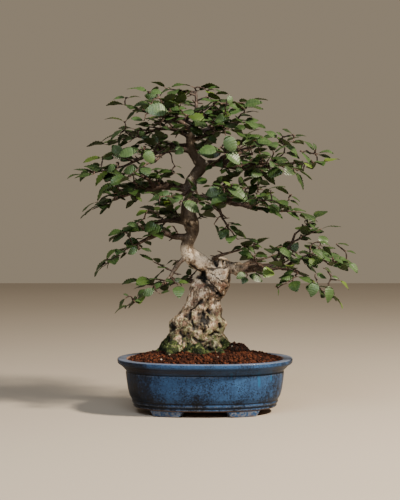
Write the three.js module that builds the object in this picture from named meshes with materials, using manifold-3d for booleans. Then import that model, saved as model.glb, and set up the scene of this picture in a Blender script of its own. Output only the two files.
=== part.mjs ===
// Korean hornbeam bonsai in its oval glazed pot. Millimetres, +Z up, the front looks along -Y.
import * as THREE from "three";
import { mergeVertices } from "three/addons/utils/BufferGeometryUtils.js";
import Module from "manifold-3d";

const wasm = await Module();
wasm.setup();

// Driving dimensions
const gap = 0.35; // left between neighbouring pieces
const pot = {
  width: 240,
  depth: 180,
  footHeight: 8,
  floorTop: 18,
  roundness: 2.3, // 2 is an ellipse, larger is squarer
  sides: 32,
  holeRadius: 10,
  holeX: 46,
};
// Bracket feet: reach of the top along the pot from its middle, draw-in at the ground, set-back, thickness
const foot = { from: 29, to: 76, slant: 4, inset: 23.6, thick: 12.8, steps: 4 };
const net = { size: 26, thick: 1.4, bar: 1.6, cells: 3 };
const mound = { edgeHeight: 71.5, edgeInset: 14.6, rise: 13, fall: 3, grain: 1.2, rings: 8 };
const trunkFoot = { x: -13, y: 9, halfWidth: 46, halfDepth: 34, bottom: 56, top: 83, sides: 18 };
const twig = { lead: 9, internode: 8.2, zigzag: 15, baseRadius: 1.35, tipRadius: 0.75, sides: 3, overlap: 1.4 };
const leaf = { length: 25.5, spread: 6, widthShare: 0.6, thick: 0.75, arch: 0.09, fineFrom: 28.5 };
const clearance = 1.15; // kept between the leaves of neighbouring sprays

const color = {
  glaze: 0x3d4f6b,
  soil: 0x8a4f38,
  bark: 0x8b7f6f,
  leaf: 0x3f6b2c,
  net: 0x2b2b2b,
};

// Sections of the lower trunk from the soil up: height, centre x, centre y, half width, half depth
const lowerTrunk = [
  [83, -13, 9, 46, 34],
  [88, -13, 9, 43, 32],
  [95, -11, 9, 38, 31],
  [104, -14, 9, 34.5, 30],
  [119, -11.5, 8, 37, 31],
  [130, -9.5, 8, 31, 27.5],
  [136, -7, 8, 28, 25],
  [148, -4, 8, 23.2, 21.5],
  [160, -2, 8, 21.4, 19.5],
  [170, -1, 8, 19.5, 17.5],
  [178, -0.5, 8, 16.8, 14.5],
  [184, 1, 9, 14, 12],
  [189.5, 4, 9, 10.5, 9],
  [193, 6, 9, 6, 5],
];

// Paths of the upper trunk and of each limb: x, y, z and radius at every bend
const wood = {
  knob: [[4, 9, 156, 13], [13, 9, 168, 16.5], [18, 8, 183, 17], [20, 7, 198, 15.5], [22, 6, 210, 9.5]],
  upper_trunk: [
    [20, 6, 190, 11.5],
    [13, 6, 195, 11.8],
    [4, 5, 198.5, 11.8],
    [-6, 3, 203.5, 11.8],
    [-15, 0, 209.5, 11.4],
    [-22, -2, 217, 10.6],
    [-24.5, -3, 225, 9.2],
    [-22.5, -4, 233, 8.2],
    [-18.5, -4, 240, 7.6],
    [-17, -3, 248, 8.8],
    [-19, -2, 258, 10.8],
    [-22.5, 0, 269, 10.8],
    [-22, 3, 281, 9.8],
    [-18, 5, 292, 9.2],
    [-20, 7, 303, 8.6],
    [-19, 8, 314, 8.2],
    [-12, 8, 325, 7.8],
    [-4, 6, 336, 7.8],
    [-10, 3, 344, 7],
    [-16, 1, 353, 6.5],
    [-20, -1, 364, 5.9],
    [-20, -2, 373, 5.3],
    [-16, -3, 384, 4.6],
    [-10, -4, 395, 3.8],
  ],
  low_right: [
    [26, 4, 198, 7], [40, 1, 196, 6.6], [54, -3, 195, 6], [69, -7, 197, 5.4], [84, -9, 197, 5],
    [99, -12, 199, 4.3], [112, -14, 198, 3.4],
  ],
  low_right_up: [[102, -12, 201, 2.8], [107, -18, 216, 2.3], [116, -22, 229, 1.8], [121, -24, 243, 1.5]],
  low_right_out: [[110, -14, 198, 3], [126, -16, 209, 2.4], [144, -12, 213, 2], [162, -6, 207, 1.5]],
  low_right_low: [[105, -14, 197, 2.7], [120, -24, 194, 2.1], [133, -32, 188, 1.7]],
  low_right_near: [[62, -7, 197, 3.4], [71, -30, 200, 2.6], [80, -52, 197, 1.8]],
  low_right_rear: [[51, -3, 198, 3.6], [64, 26, 204, 2.6], [80, 50, 206, 1.8]],
  inner: [[10, 4, 208, 2.4], [20, -12, 214, 2], [36, -22, 219, 1.5]],
  low_left_near: [[-22, -2, 217, 3.4], [-38, -14, 200, 2.6], [-49, -22, 183, 2.1], [-62, -30, 172, 1.7]],
  low_left_far: [[-10, 8, 176, 3.4], [-29, 20, 179, 2.5], [-46, 32, 173, 1.8]],
  middle_left_low: [
    [-23, -4, 238, 4.6], [-42, -6, 240, 3.7], [-57, -10, 244, 3.1], [-73, -16, 239, 2.7], [-89, -22, 231, 2],
  ],
  middle_left_back: [[-23, 0, 258, 3.6], [-50, 16, 261, 2.7], [-72, 32, 257, 1.9]],
  middle_left: [
    [-20, 7, 303, 5.6], [-42, 3, 308, 4.7], [-61, -1, 307, 4], [-80, -5, 303, 3.3], [-98, -9, 299, 2.6],
    [-114, -13, 293, 1.8],
  ],
  middle_left_up: [[-67, -1, 305, 2.6], [-76, -16, 316, 2.1], [-90, -28, 323, 1.6]],
  middle_left_rear: [[-48, 3, 308, 3.3], [-65, 30, 312, 2.4], [-83, 54, 311, 1.8]],
  upper_left: [
    [-18, 0, 356, 3.7], [-39, -6, 358, 3], [-62, -12, 354, 2.5], [-85, -18, 346, 2],
    [-108, -22, 335, 1.6],
  ],
  upper_left_near: [[-44, -7, 358, 2.6], [-56, -28, 352, 2.1], [-64, -46, 343, 1.6]],
  upper_left_rear: [[-19, -1, 362, 3.3], [-43, 18, 365, 2.6], [-66, 36, 370, 1.8]],
  top_left: [[-19, -3, 374, 3.4], [-40, 4, 385, 2.6], [-62, 10, 386, 2.1], [-82, 14, 380, 1.6]],
  top_left_near: [[-18, -4, 384, 3.1], [-38, -16, 397, 2.4], [-62, -28, 403, 1.8]],
  top_left_rear: [[-14, -4, 390, 2.7], [-32, 16, 400, 2.1], [-52, 32, 404, 1.6]],
  apex: [[-11, -4, 392, 2.7], [-12, -2, 414, 2], [-12, 0, 436, 1.5]],
  apex_rear: [[-12, -3, 389, 2.6], [-6, 22, 402, 1.8]],
  apex_near: [[-14, -4, 387, 2.7], [-14, -28, 398, 1.8]],
  top_right_up: [[-10, -4, 393, 2.4], [4, 0, 410, 1.8], [16, 6, 420, 1.5]],
  top_right: [[-16, -3, 382, 3], [2, -10, 384, 2.4], [22, -18, 390, 1.8]],
  top_right_rear: [[-19, -2, 370, 3.1], [2, 20, 378, 2.4], [25, 40, 388, 1.8]],
  upper_right: [
    [-3, 6, 337, 5], [14, 3, 339, 4.3], [33, 0, 335, 3.7], [56, -4, 333, 3.3], [80, -8, 334, 2.7],
    [103, -12, 338, 1.9],
  ],
  upper_right_up: [[15, 3, 339, 3.3], [30, -14, 350, 2.6], [47, -30, 357, 1.8]],
  upper_right_rear: [[23, 0, 338, 3.4], [45, 28, 352, 2.6], [70, 50, 364, 1.8]],
  upper_right_near: [[52, -4, 333, 3], [66, -28, 337, 2.3], [81, -48, 338, 1.7]],
  middle_right: [
    [-18, 5, 290, 4.7], [1, 2, 293, 4], [19, -3, 290, 3.4], [39, -8, 285, 2.8], [60, -12, 280, 2.3],
    [80, -16, 276, 1.7],
  ],
  middle_right_up: [[0, 2, 293, 3.3], [20, 18, 299, 2.6], [42, 32, 304, 1.8]],
  middle_right_low: [[10, -1, 290, 2.7], [19, -14, 276, 1.9], [24, -20, 264, 1.5]],
  middle_right_near: [[29, -5, 287, 3], [42, -30, 290, 2.3], [56, -50, 290, 1.7]],
  middle_right_rear: [[-9, 4, 291, 3.4], [8, 32, 296, 2.6], [24, 58, 299, 1.8]],
  rear_low: [[-22, -3, 250, 4], [-29, 28, 259, 3], [-38, 54, 264, 1.9]],
  rear_high: [[-11, 4, 341, 3.6], [-14, 34, 352, 2.6], [-22, 60, 358, 1.8]],
  near_middle: [[-19, 8, 304, 3.4], [-25, -24, 299, 2.4], [-32, -42, 295, 1.7]],
};

// Leafy sprays on each limb: how far along it, heading from +X in plan, rise above level, leaves
const sprays = {
  low_right_up: [[0.7, -30, 22, 5], [1, 30, 34, 5]],
  low_right_out: [[0.4, 55, 14, 5], [0.7, -55, 2, 6], [1, 10, -8, 3]],
  low_right_low: [[0.6, -95, -10, 5], [1, -30, -34, 6]],
  low_right_near: [[1, -55, 4, 6]],
  low_right_rear: [[1, 50, 10, 6]],
  inner: [[1, -10, 15, 4]],
  low_left_near: [[0.7, 150, 8, 5], [1, 200, -24, 6]],
  low_left_far: [[1, 150, -6, 5]],
  middle_left_low: [[0.6, -125, 8, 6], [1, 196, -24, 7]],
  middle_left_back: [[0.5, 100, 12, 5], [1, 165, -12, 6]],
  middle_left: [[0.45, 115, 16, 5], [0.7, -125, 2, 6], [1, 196, -22, 5]],
  middle_left_up: [[0.5, -90, 14, 4], [1, 191, 8, 6]],
  middle_left_rear: [[1, 145, 6, 7]],
  upper_left: [[0.7, 140, 6, 5], [1, 186, -12, 7]],
  upper_left_near: [[1, -140, -18, 6]],
  upper_left_rear: [[1, 145, 10, 6]],
  top_left: [[0.5, 110, 18, 5], [1, 170, -8, 7]],
  top_left_near: [[0.5, -140, 34, 5], [1, 196, 22, 6]],
  top_left_rear: [[1, 140, 14, 6]],
  apex: [[1, 175, 4, 5]],
  apex_rear: [[1, 70, 8, 6]],
  apex_near: [[1, -115, 4, 6]],
  top_right_up: [[1, 35, 6, 6]],
  top_right: [[0.6, -95, 8, 5], [1, -30, 10, 6]],
  top_right_rear: [[1, 35, 8, 7]],
  upper_right: [[0.6, -65, -10, 5], [1, 2, 4, 7]],
  upper_right_up: [[0.6, -120, 2, 5], [1, -40, 8, 6]],
  upper_right_rear: [[1, 28, 12, 7]],
  upper_right_near: [[1, -40, -4, 7]],
  middle_right: [[0.6, 40, 10, 5], [1, -6, -4, 6]],
  middle_right_up: [[1, 30, 6, 6]],
  middle_right_low: [[1, -55, -42, 5]],
  middle_right_near: [[0.5, -120, 6, 4], [1, -40, 2, 6]],
  middle_right_rear: [[1, 75, 4, 6]],
  rear_low: [[1, 120, 2, 6]],
  rear_high: [[1, 100, 6, 4]],
  near_middle: [[1, -125, -4, 6]],
};

// A draw between 0 and 1 that is the same on every run
const draw = (key) => {
  const wave = Math.sin(key * 12.9898) * 43758.5453;
  return wave - Math.floor(wave);
};
const radians = (degrees) => (degrees * Math.PI) / 180;

// A closed body from rings of equal length, carried in order, with a fan over each end
function loft(rings) {
  const count = rings[0].length;
  const positions = rings.flat().flatMap((point) => point.toArray());
  const indices = [];
  for (let ring = 0; ring < rings.length - 1; ring += 1) {
    for (let side = 0; side < count; side += 1) {
      const next = (side + 1) % count;
      const a = ring * count + side;
      const b = ring * count + next;
      indices.push(a, b, b + count, a, b + count, a + count);
    }
  }
  const middle = (ring) => ring.reduce((sum, p) => sum.add(p), new THREE.Vector3()).divideScalar(count);
  const first = rings.length * count;
  positions.push(...middle(rings[0]).toArray(), ...middle(rings.at(-1)).toArray());
  for (let side = 0; side < count; side += 1) {
    const next = (side + 1) % count;
    const last = (rings.length - 1) * count;
    indices.push(first, next, side, first + 1, last + side, last + next);
  }
  return bodyOf(positions, indices);
}

function bodyOf(positions, indices) {
  const geometry = new THREE.BufferGeometry();
  geometry.setAttribute("position", new THREE.Float32BufferAttribute(positions, 3));
  geometry.setIndex(indices);
  return solid(geometry);
}

function solid(geometry) {
  geometry.deleteAttribute("normal");
  geometry.deleteAttribute("uv");
  const merged = mergeVertices(geometry, 1e-4);
  return new wasm.Manifold(new wasm.Mesh({
    numProp: 3,
    vertProperties: merged.attributes.position.array,
    triVerts: new Uint32Array(merged.index.array),
  }));
}

const join = (solids) => solids.reduce((sum, next) => sum.add(next));

// The largest body of a cut solid, without the loose scraps
function wholeOf(cut) {
  return cut.decompose().sort((a, b) => b.volume() - a.volume())[0];
}

function meshOf(name, body, materialColor, roughness, metalness = 0) {
  const data = body.getMesh();
  const geometry = new THREE.BufferGeometry();
  geometry.setAttribute("position", new THREE.BufferAttribute(new Float32Array(data.vertProperties), 3));
  geometry.setIndex(new THREE.BufferAttribute(new Uint32Array(data.triVerts), 1));
  const material = new THREE.MeshStandardMaterial({ color: materialColor, roughness, metalness });
  const mesh = new THREE.Mesh(geometry, material);
  mesh.name = name;
  return mesh;
}

// Pot: one oval wall and floor with a broad flat rim, a hollow neck, two mouldings and four bracket feet
function ovalPoint(angle, inset, z) {
  const power = 2 / pot.roundness;
  const bent = (value) => Math.sign(value) * Math.abs(value) ** power;
  return new THREE.Vector3(
    (pot.width / 2 - inset) * bent(Math.cos(angle)),
    (pot.depth / 2 - inset) * bent(Math.sin(angle)),
    z,
  );
}

function ovalRing(inset, z) {
  const step = (2 * Math.PI) / pot.sides;
  return Array.from({ length: pot.sides }, (_, i) => ovalPoint(step * (i + 0.5), inset, z));
}

// Height and inset from the rim's edge: up the outside, over the rim and down the inside
const outerWall = [
  [8, 24], [9.6, 21.4], [12.2, 22.4], [14.8, 19.6], [17.6, 20.4], [24, 16.6], [33, 14.4], [45, 12.6],
  [55.5, 11.6], [57, 12.8], [60.5, 9.2], [64, 6], [67.8, 0.5], [72.8, 0], [74, 1.6],
];
const innerWall = [[73.2, 13.6], [55, 18.6], [36, 21.4], [23, 26], [18, 32]];

function makeFoot(signX, signY) {
  const { from, to, slant, inset, thick, steps } = foot;
  const [low, high] = [0, pot.footHeight + 2];
  const angleAt = (x) => Math.acos(Math.min(1, (x / (pot.width / 2 - inset)) ** (pot.roundness / 2)));
  const place = (x, setBack, z) => {
    const point = ovalPoint(angleAt(x), setBack, z);
    return new THREE.Vector3(signX * point.x, signY * point.y, z);
  };
  const rings = [];
  for (let step = 0; step <= steps; step += 1) {
    const share = step / steps;
    const x = from + (to - from) * share;
    const drawn = x + slant * (1 - 2 * share);
    rings.push([
      place(drawn, inset + 0.8, low), place(drawn, inset + thick + 1, low),
      place(x, inset + thick, high), place(x, inset, high),
    ]);
  }
  return loft(signX * signY < 0 ? rings : rings.map((ring) => [...ring].reverse()));
}

function makePot() {
  const rings = [...outerWall, ...innerWall].map(([z, inset]) => ovalRing(inset, z));
  let body = loft(rings);
  for (const side of [-1, 1]) {
    const hole = new THREE.CylinderGeometry(pot.holeRadius, pot.holeRadius, 2 * pot.floorTop, 16);
    hole.rotateX(Math.PI / 2);
    hole.translate(side * pot.holeX, 0, pot.floorTop / 2);
    body = body.subtract(solid(hole));
  }
  for (const [signX, signY] of [[-1, -1], [1, -1], [-1, 1], [1, 1]]) {
    body = body.add(makeFoot(signX, signY));
  }
  return body;
}

// Nets: a small square lattice over each drainage hole, lying on the pot's floor
function makeNet(x) {
  const plate = new THREE.BoxGeometry(net.size, net.size, net.thick);
  const z = pot.floorTop + gap + net.thick / 2;
  plate.translate(x, 0, z);
  let body = solid(plate);
  const pitch = (net.size - net.bar) / net.cells;
  const opening = pitch - net.bar;
  for (let row = 0; row < net.cells; row += 1) {
    for (let column = 0; column < net.cells; column += 1) {
      const cell = new THREE.BoxGeometry(opening, opening, net.thick * 3);
      const place = (index) => (index - (net.cells - 1) / 2) * pitch;
      cell.translate(x + place(column), place(row), z);
      body = body.subtract(solid(cell));
    }
  }
  return body;
}

// Outline of the trunk's foot: an oval with five root lobes
function footOutline(z, grow, cx, cy, halfWidth, halfDepth) {
  return Array.from({ length: trunkFoot.sides }, (_, i) => {
    const angle = (2 * Math.PI * i) / trunkFoot.sides;
    const lobes = 1 + 0.09 * Math.cos(5 * angle + 0.9) + 0.05 * Math.cos(3 * angle - 0.6);
    return new THREE.Vector3(
      cx + (halfWidth * lobes + grow) * Math.cos(angle),
      cy + (halfDepth * lobes + grow) * Math.sin(angle),
      z,
    );
  });
}

// Soil: a low mound of coarse grains that fills the pot, with a plain hole for the trunk's foot
function moundHeight(share, key) {
  const crown = mound.edgeHeight + mound.rise * (1 - share ** mound.fall);
  return crown + mound.grain * (2 * draw(key) - 1);
}

function makeSoil() {
  const wall = innerWall.slice(1).reverse();
  const rings = wall.map(([z, inset]) => ovalRing(inset + gap, z === pot.floorTop ? z + gap : z));
  for (let step = 0; step < mound.rings; step += 1) {
    const share = 1 - step / mound.rings;
    rings.push(ovalRing(mound.edgeInset + gap, 0).map((point, i) => {
      const wobble = step === 0 ? 0 : 0.35 * (draw(i + 61 * step) - 0.5) / mound.rings;
      const radius = share + wobble;
      const z = step === 0 ? mound.edgeHeight + 0.5 * draw(i) : moundHeight(radius, 7 * i + 131 * step);
      return new THREE.Vector3(point.x * radius, point.y * radius, z);
    }));
  }
  let body = loft(rings);
  for (const side of [-1, 1]) {
    const recess = new THREE.BoxGeometry(net.size + 2 * gap, net.size + 2 * gap, 2 * (net.thick + 2 * gap));
    recess.translate(side * pot.holeX, 0, pot.floorTop);
    body = body.subtract(solid(recess));
  }
  const { x, y, halfWidth, halfDepth, bottom, top } = trunkFoot;
  const hole = loft([bottom - gap, top + 12].map((z) => footOutline(z, gap, x, y, halfWidth, halfDepth)));
  return body.subtract(hole);
}

// Wood: the flared lower trunk, its knob, the leaning upper trunk and the limbs, grown as one
function makeLowerTrunk() {
  const rings = lowerTrunk.map(([z, x, y, halfWidth, halfDepth]) => {
    const rise = (z - trunkFoot.top) / 30;
    const straight = footOutline(z, 0, x, y, halfWidth, halfDepth);
    return straight.map((point, i) => {
      const angle = (2 * Math.PI * i) / trunkFoot.sides;
      const lump = Math.min(1, rise) * 0.045 * Math.sin(4 * angle + 0.13 * z) * Math.sin(0.21 * z + angle);
      return new THREE.Vector3(x + (point.x - x) * (1 + lump), y + (point.y - y) * (1 + lump), z);
    });
  });
  const { x, y, halfWidth, halfDepth, bottom } = trunkFoot;
  return loft([footOutline(bottom, 0, x, y, halfWidth, halfDepth), ...rings]);
}

// A round tube along a path whose points are x, y, z, radius; lumps make it knotty, grow adds to all sides
function makeTube(path, sides, lumps = 0, grow = 0) {
  const points = path.map(([x, y, z]) => new THREE.Vector3(x, y, z));
  const [start, end] = [points[0], points.at(-1)];
  start.addScaledVector(start.clone().sub(points[1]).normalize(), grow);
  end.addScaledVector(end.clone().sub(points.at(-2)).normalize(), grow);
  let across = new THREE.Vector3(0, 1, 0);
  const rings = points.map((point, i) => {
    const before = points[Math.max(0, i - 1)];
    const after = points[Math.min(points.length - 1, i + 1)];
    const along = after.clone().sub(before).normalize();
    if (i === 0 && Math.abs(along.y) > 0.8) {
      across = new THREE.Vector3(1, 0, 0);
    }
    across = across.sub(along.clone().multiplyScalar(across.dot(along))).normalize();
    const other = along.clone().cross(across);
    return Array.from({ length: sides }, (_, side) => {
      const angle = (2 * Math.PI * side) / sides;
      const radius = path[i][3] * (1 + lumps * (2 * draw(17 * i + side + points.length) - 1)) + grow;
      return point.clone()
        .addScaledVector(across, radius * Math.cos(angle))
        .addScaledVector(other, radius * Math.sin(angle));
    });
  });
  return loft(rings);
}

// A curve through the bends of a path, with its radius, as a list of evenly spaced points
function smoothPath(path, steps) {
  const points = path.map(([x, y, z]) => new THREE.Vector3(x, y, z));
  const curve = new THREE.CatmullRomCurve3(points, false, "catmullrom", 0.5);
  return Array.from({ length: steps + 1 }, (_, i) => {
    const share = i / steps;
    const point = curve.getPoint(share);
    const place = share * (path.length - 1);
    const before = Math.min(path.length - 2, Math.floor(place));
    const radius = THREE.MathUtils.lerp(path[before][3], path[before + 1][3], place - before);
    return [point.x, point.y, point.z, radius];
  });
}

const limbPaths = Object.fromEntries(Object.entries(wood).map(([name, path]) => {
  const steps = name === "upper_trunk" ? 24 : Math.round(1.25 * (path.length - 1));
  return [name, smoothPath(path, steps)];
}));
const limbSides = (name) => {
  if (name === "upper_trunk" || name === "knob") return 9;
  return wood[name][0][3] > 4.4 ? 6 : 4;
};

function makeLimbs(grow = 0) {
  return join(Object.entries(limbPaths).map(([name, path]) => (
    makeTube(path, limbSides(name), name === "upper_trunk" ? 0.08 : 0.06, grow)
  )));
}

function makeWood() {
  return join([makeLowerTrunk(), makeLimbs()]);
}

// Sprays: a zigzag twig with a leaf at every bend, left and right in turn, and one at its tip
function headingOf(azimuth, rise) {
  const [turn, lift] = [radians(azimuth), radians(rise)];
  return new THREE.Vector3(Math.cos(turn) * Math.cos(lift), Math.sin(turn) * Math.cos(lift), Math.sin(lift));
}

function twigPath(start, azimuth, rise, leaves, key) {
  const nodes = [start.clone()];
  let turn = azimuth;
  let lift = rise;
  let reach = twig.lead;
  for (let i = 0; i < leaves; i += 1) {
    nodes.push(nodes.at(-1).clone().addScaledVector(headingOf(turn, lift), reach));
    turn += twig.zigzag * (i % 2 ? 1.6 : -1.6) * (i === 0 ? 0.5 : 1) + 16 * (draw(key + 3.1 * i) - 0.5);
    lift += 12 * (draw(key + 5.7 * i) - 0.55);
    reach = twig.internode * (0.85 + 0.3 * draw(key + 7.3 * i));
  }
  return nodes;
}

// Points along a path no more than 2 mm apart, each with a radius
function beads(points, radiusAt) {
  const list = [];
  for (let i = 0; i < points.length - 1; i += 1) {
    const steps = Math.ceil(points[i].distanceTo(points[i + 1]) / 2);
    for (let step = 0; step < steps; step += 1) {
      const share = step / steps;
      list.push({ at: points[i].clone().lerp(points[i + 1], share), radius: radiusAt(i + share) });
    }
  }
  list.push({ at: points.at(-1).clone(), radius: radiusAt(points.length - 1) });
  return list;
}

// Half width and height of the blade over its length: oval with a drawn-out tip, and arched
const bladeWidth = (share) => 0.5 * leaf.widthShare * Math.sin(Math.PI * Math.max(0, share) ** 0.85) ** 0.8;
const bladeArch = (share) => leaf.arch * (1 - (2 * share - 1) ** 2);

function frameOf(base, azimuth, rise, lean, roll) {
  const along = headingOf(azimuth, rise);
  const up = new THREE.Vector3(lean.x, lean.y, 1);
  const face = up.sub(along.clone().multiplyScalar(up.dot(along))).normalize();
  const across = face.clone().cross(along);
  const tilt = radians(roll);
  return {
    base,
    along,
    across: across.clone().multiplyScalar(Math.cos(tilt)).addScaledVector(face, Math.sin(tilt)),
    face: face.clone().multiplyScalar(Math.cos(tilt)).addScaledVector(across, -Math.sin(tilt)),
  };
}

function bladePoint(frame, length, share, side, lift = 0) {
  const half = bladeWidth(share) * length;
  return frame.base.clone()
    .addScaledVector(frame.along, share * length)
    .addScaledVector(frame.across, side * half)
    .addScaledVector(frame.face, bladeArch(share) * length + lift);
}

function bladeBeads(frame, length) {
  const list = [];
  for (let step = 1; step <= 9; step += 1) {
    for (const side of [-1, -0.5, 0, 0.5, 1]) {
      list.push(bladePoint(frame, length, step / 9, side));
    }
  }
  return list;
}

// Whether a bead comes closer to a blade than the margin
function nearBlade(blade, at, margin) {
  const offset = at.clone().sub(blade.frame.base);
  const share = offset.dot(blade.frame.along) / blade.length;
  if (share < 0.04 || share > 1 + margin / blade.length) return false;
  const half = bladeWidth(Math.min(share, 0.98)) * blade.length + margin;
  const across = offset.dot(blade.frame.across);
  if (Math.abs(across) > half) return false;
  return Math.abs(offset.dot(blade.frame.face) - bladeArch(share) * blade.length) < margin;
}

function bladeIsClear(blade, others, woodBeads, twigs) {
  const reach = (other) => blade.frame.base.distanceTo(other.frame.base) < blade.length + other.length + 4;
  for (const other of others.filter(reach)) {
    const margin = other.spray === blade.spray ? 0.9 : clearance;
    const ownStart = (share) => other.spray === blade.spray && share < 15;
    const hit = blade.beads.some((at, i) => !ownStart(i) && nearBlade(other, at, margin))
      || other.beads.some((at, i) => !ownStart(i) && nearBlade(blade, at, margin));
    if (hit) return false;
  }
  for (const bead of woodBeads) {
    if (bead.at.distanceTo(blade.frame.base) < blade.length + bead.radius
      && nearBlade(blade, bead.at, bead.radius + 0.9)) return false;
  }
  return !twigs.some((other) => other.spray !== blade.spray
    && other.beads.some((bead) => nearBlade(blade, bead.at, bead.radius + 0.9)));
}

function twigIsClear(candidate, woodBeads, twigs) {
  const away = candidate.slice(5);
  const touches = (bead, other) => bead.at.distanceTo(other.at) < bead.radius + other.radius + 0.8;
  if (away.some((bead) => woodBeads.some((other) => touches(bead, other)))) return false;
  return !twigs.some((spray) => spray.beads.some((other) => candidate.some((bead) => touches(bead, other))));
}

// Bends that are tried in turn until a twig or a blade is clear: turn, rise, roll
const bends = [
  [0, 0, 0], [8, 10, 0], [-8, 12, 0], [6, -12, 0], [0, 20, 12], [12, -20, -12], [-16, 6, 24], [18, 24, -20],
  [-24, -18, 20], [26, 8, -30], [-30, 26, 30],
];

function layOut() {
  const woodBeads = Object.values(limbPaths).flatMap((path) => (
    beads(path.map(([x, y, z]) => new THREE.Vector3(x, y, z)), (place) => path[Math.round(place)][3])
  ));
  for (const [z, x, y, halfWidth, halfDepth] of lowerTrunk) {
    woodBeads.push({ at: new THREE.Vector3(x, y, z), radius: (halfWidth + halfDepth) / 2 });
  }
  const laid = [];
  for (const [limb, rows] of Object.entries(sprays)) {
    rows.forEach(([place, azimuth, rise, leaves], row) => {
      const path = limbPaths[limb];
      const [x, y, z, radius] = path[Math.round(place * (path.length - 1))];
      const start = new THREE.Vector3(x, y, z);
      const key = 11 * laid.length + 0.37;
      const radiusAt = (node) => THREE.MathUtils.lerp(twig.baseRadius, twig.tipRadius, node / leaves);
      for (const [turn, lift] of bends) {
        const nodes = twigPath(start, azimuth + turn, rise + lift, leaves, key);
        const candidate = beads(nodes, radiusAt);
        if (twigIsClear(candidate, woodBeads, laid) || turn === bends.at(-1)[0]) {
          laid.push({ spray: `${limb}_${row + 1}`, key, nodes, beads: candidate, radius, blades: [] });
          break;
        }
      }
    });
  }
  const blades = [];
  for (const spray of laid) {
    const last = spray.nodes.length - 1;
    for (let i = last; i >= 1; i -= 1) {
      const step = spray.nodes[i].clone().sub(spray.nodes[i - 1]);
      const heading = (Math.atan2(step.y, step.x) * 180) / Math.PI;
      const climb = (Math.atan2(step.z, Math.hypot(step.x, step.y)) * 180) / Math.PI;
      const pick = (n) => draw(spray.key + 1.7 * i + 0.61 * n);
      const side = i === last ? 0.25 : 1;
      const turn = (i % 2 ? 1 : -1) * side * (48 + 18 * pick(1));
      const length = leaf.length * (i === 1 ? 0.8 : 1) + leaf.spread * (2 * pick(2) - 1);
      const out = spray.nodes[i].clone().setZ(0).normalize();
      const lean = { x: 0.8 * (pick(3) - 0.5) + 0.2 * out.x, y: 0.9 * (pick(4) - 0.5) + 0.4 * out.y - 0.2 };
      for (const [addTurn, addRise, roll] of bends) {
        const rise = 0.6 * climb + 40 * (pick(5) - 0.6) + addRise;
        const turned = 70 * (pick(6) - 0.5) + roll;
        const frame = frameOf(spray.nodes[i], heading + turn + addTurn, rise, lean, turned);
        const blade = { spray: spray.spray, frame, length, beads: bladeBeads(frame, length) };
        if (bladeIsClear(blade, blades, woodBeads, laid)) {
          blades.push(blade);
          spray.blades.push(blade);
          break;
        }
      }
    }
  }
  return laid;
}

// A closed thin blade with two or three points down each edge, split alike on both faces
function makeBlade({ frame, length }) {
  const shares = length > leaf.fineFrom ? [0.2, 0.48, 0.78] : [0.28, 0.68];
  const count = shares.length;
  const points = [bladePoint(frame, length, 0, 0), bladePoint(frame, length, 1, 0)];
  for (const lift of [0.5 * leaf.thick, -0.5 * leaf.thick]) {
    for (const side of [-1, 1]) {
      points.push(...shares.map((share) => bladePoint(frame, length, share, side, lift)));
    }
  }
  const [base, tip] = [0, 1];
  const topRight = 2;
  const topLeft = topRight + count;
  const under = 2 * count;
  const indices = [];
  const facet = (...corners) => indices.push(...corners);
  const bothFaces = (a, b, c) => {
    const below = (corner) => (corner < 2 ? corner : corner + under);
    facet(a, b, c);
    facet(below(a), below(c), below(b));
  };
  bothFaces(base, topRight, topLeft);
  for (let k = 0; k < count - 1; k += 1) {
    bothFaces(topRight + k, topRight + k + 1, topLeft + k + 1);
    bothFaces(topRight + k, topLeft + k + 1, topLeft + k);
  }
  bothFaces(topRight + count - 1, tip, topLeft + count - 1);
  for (const [edge, turned] of [[topRight, false], [topLeft, true]]) {
    const line = [base, ...shares.map((_, k) => edge + k), tip];
    const below = (corner) => (corner < 2 ? corner : corner + under);
    for (let k = 0; k < line.length - 1; k += 1) {
      const [a, b] = turned ? [line[k + 1], line[k]] : [line[k], line[k + 1]];
      if (below(a) !== a) facet(a, below(a), b);
      if (below(b) !== b) facet(b, below(a), below(b));
    }
  }
  return bodyOf(points.flatMap((point) => point.toArray()), indices);
}

function makeSpray(spray, woodGrown) {
  const count = spray.nodes.length - 1;
  const path = spray.nodes.map((node, i) => (
    [...node.toArray(), THREE.MathUtils.lerp(twig.baseRadius, twig.tipRadius, i / count)]
  ));
  const stem = makeTube(path, twig.sides, 0, twig.overlap);
  return wholeOf(join([stem, ...spray.blades.map(makeBlade)]).subtract(woodGrown));
}

const tree = new THREE.Group();
tree.add(meshOf("pot", makePot(), color.glaze, 0.3));
tree.add(meshOf("drain_net_left", makeNet(-pot.holeX), color.net, 0.7));
tree.add(meshOf("drain_net_right", makeNet(pot.holeX), color.net, 0.7));
tree.add(meshOf("soil", makeSoil(), color.soil, 0.95));
tree.add(meshOf("trunk_and_limbs", makeWood(), color.bark, 0.85));
const woodGrown = makeLimbs(gap);
for (const spray of layOut()) {
  tree.add(meshOf(`spray_${spray.spray}`, makeSpray(spray, woodGrown), color.leaf, 0.45));
}

// The origin is under the middle of the whole thing
const box = new THREE.Box3().setFromObject(tree);
const middle = box.getCenter(new THREE.Vector3());
tree.position.set(-middle.x, -middle.y, -box.min.z);
const bonsai = new THREE.Group();
bonsai.add(tree);

export default bonsai;
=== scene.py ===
# Korean hornbeam bonsai in its oval glazed pot: the looks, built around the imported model.
# Shapes are worked out in millimetres about the pot's middle, and turned into metres for the mesh.
import math

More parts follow.
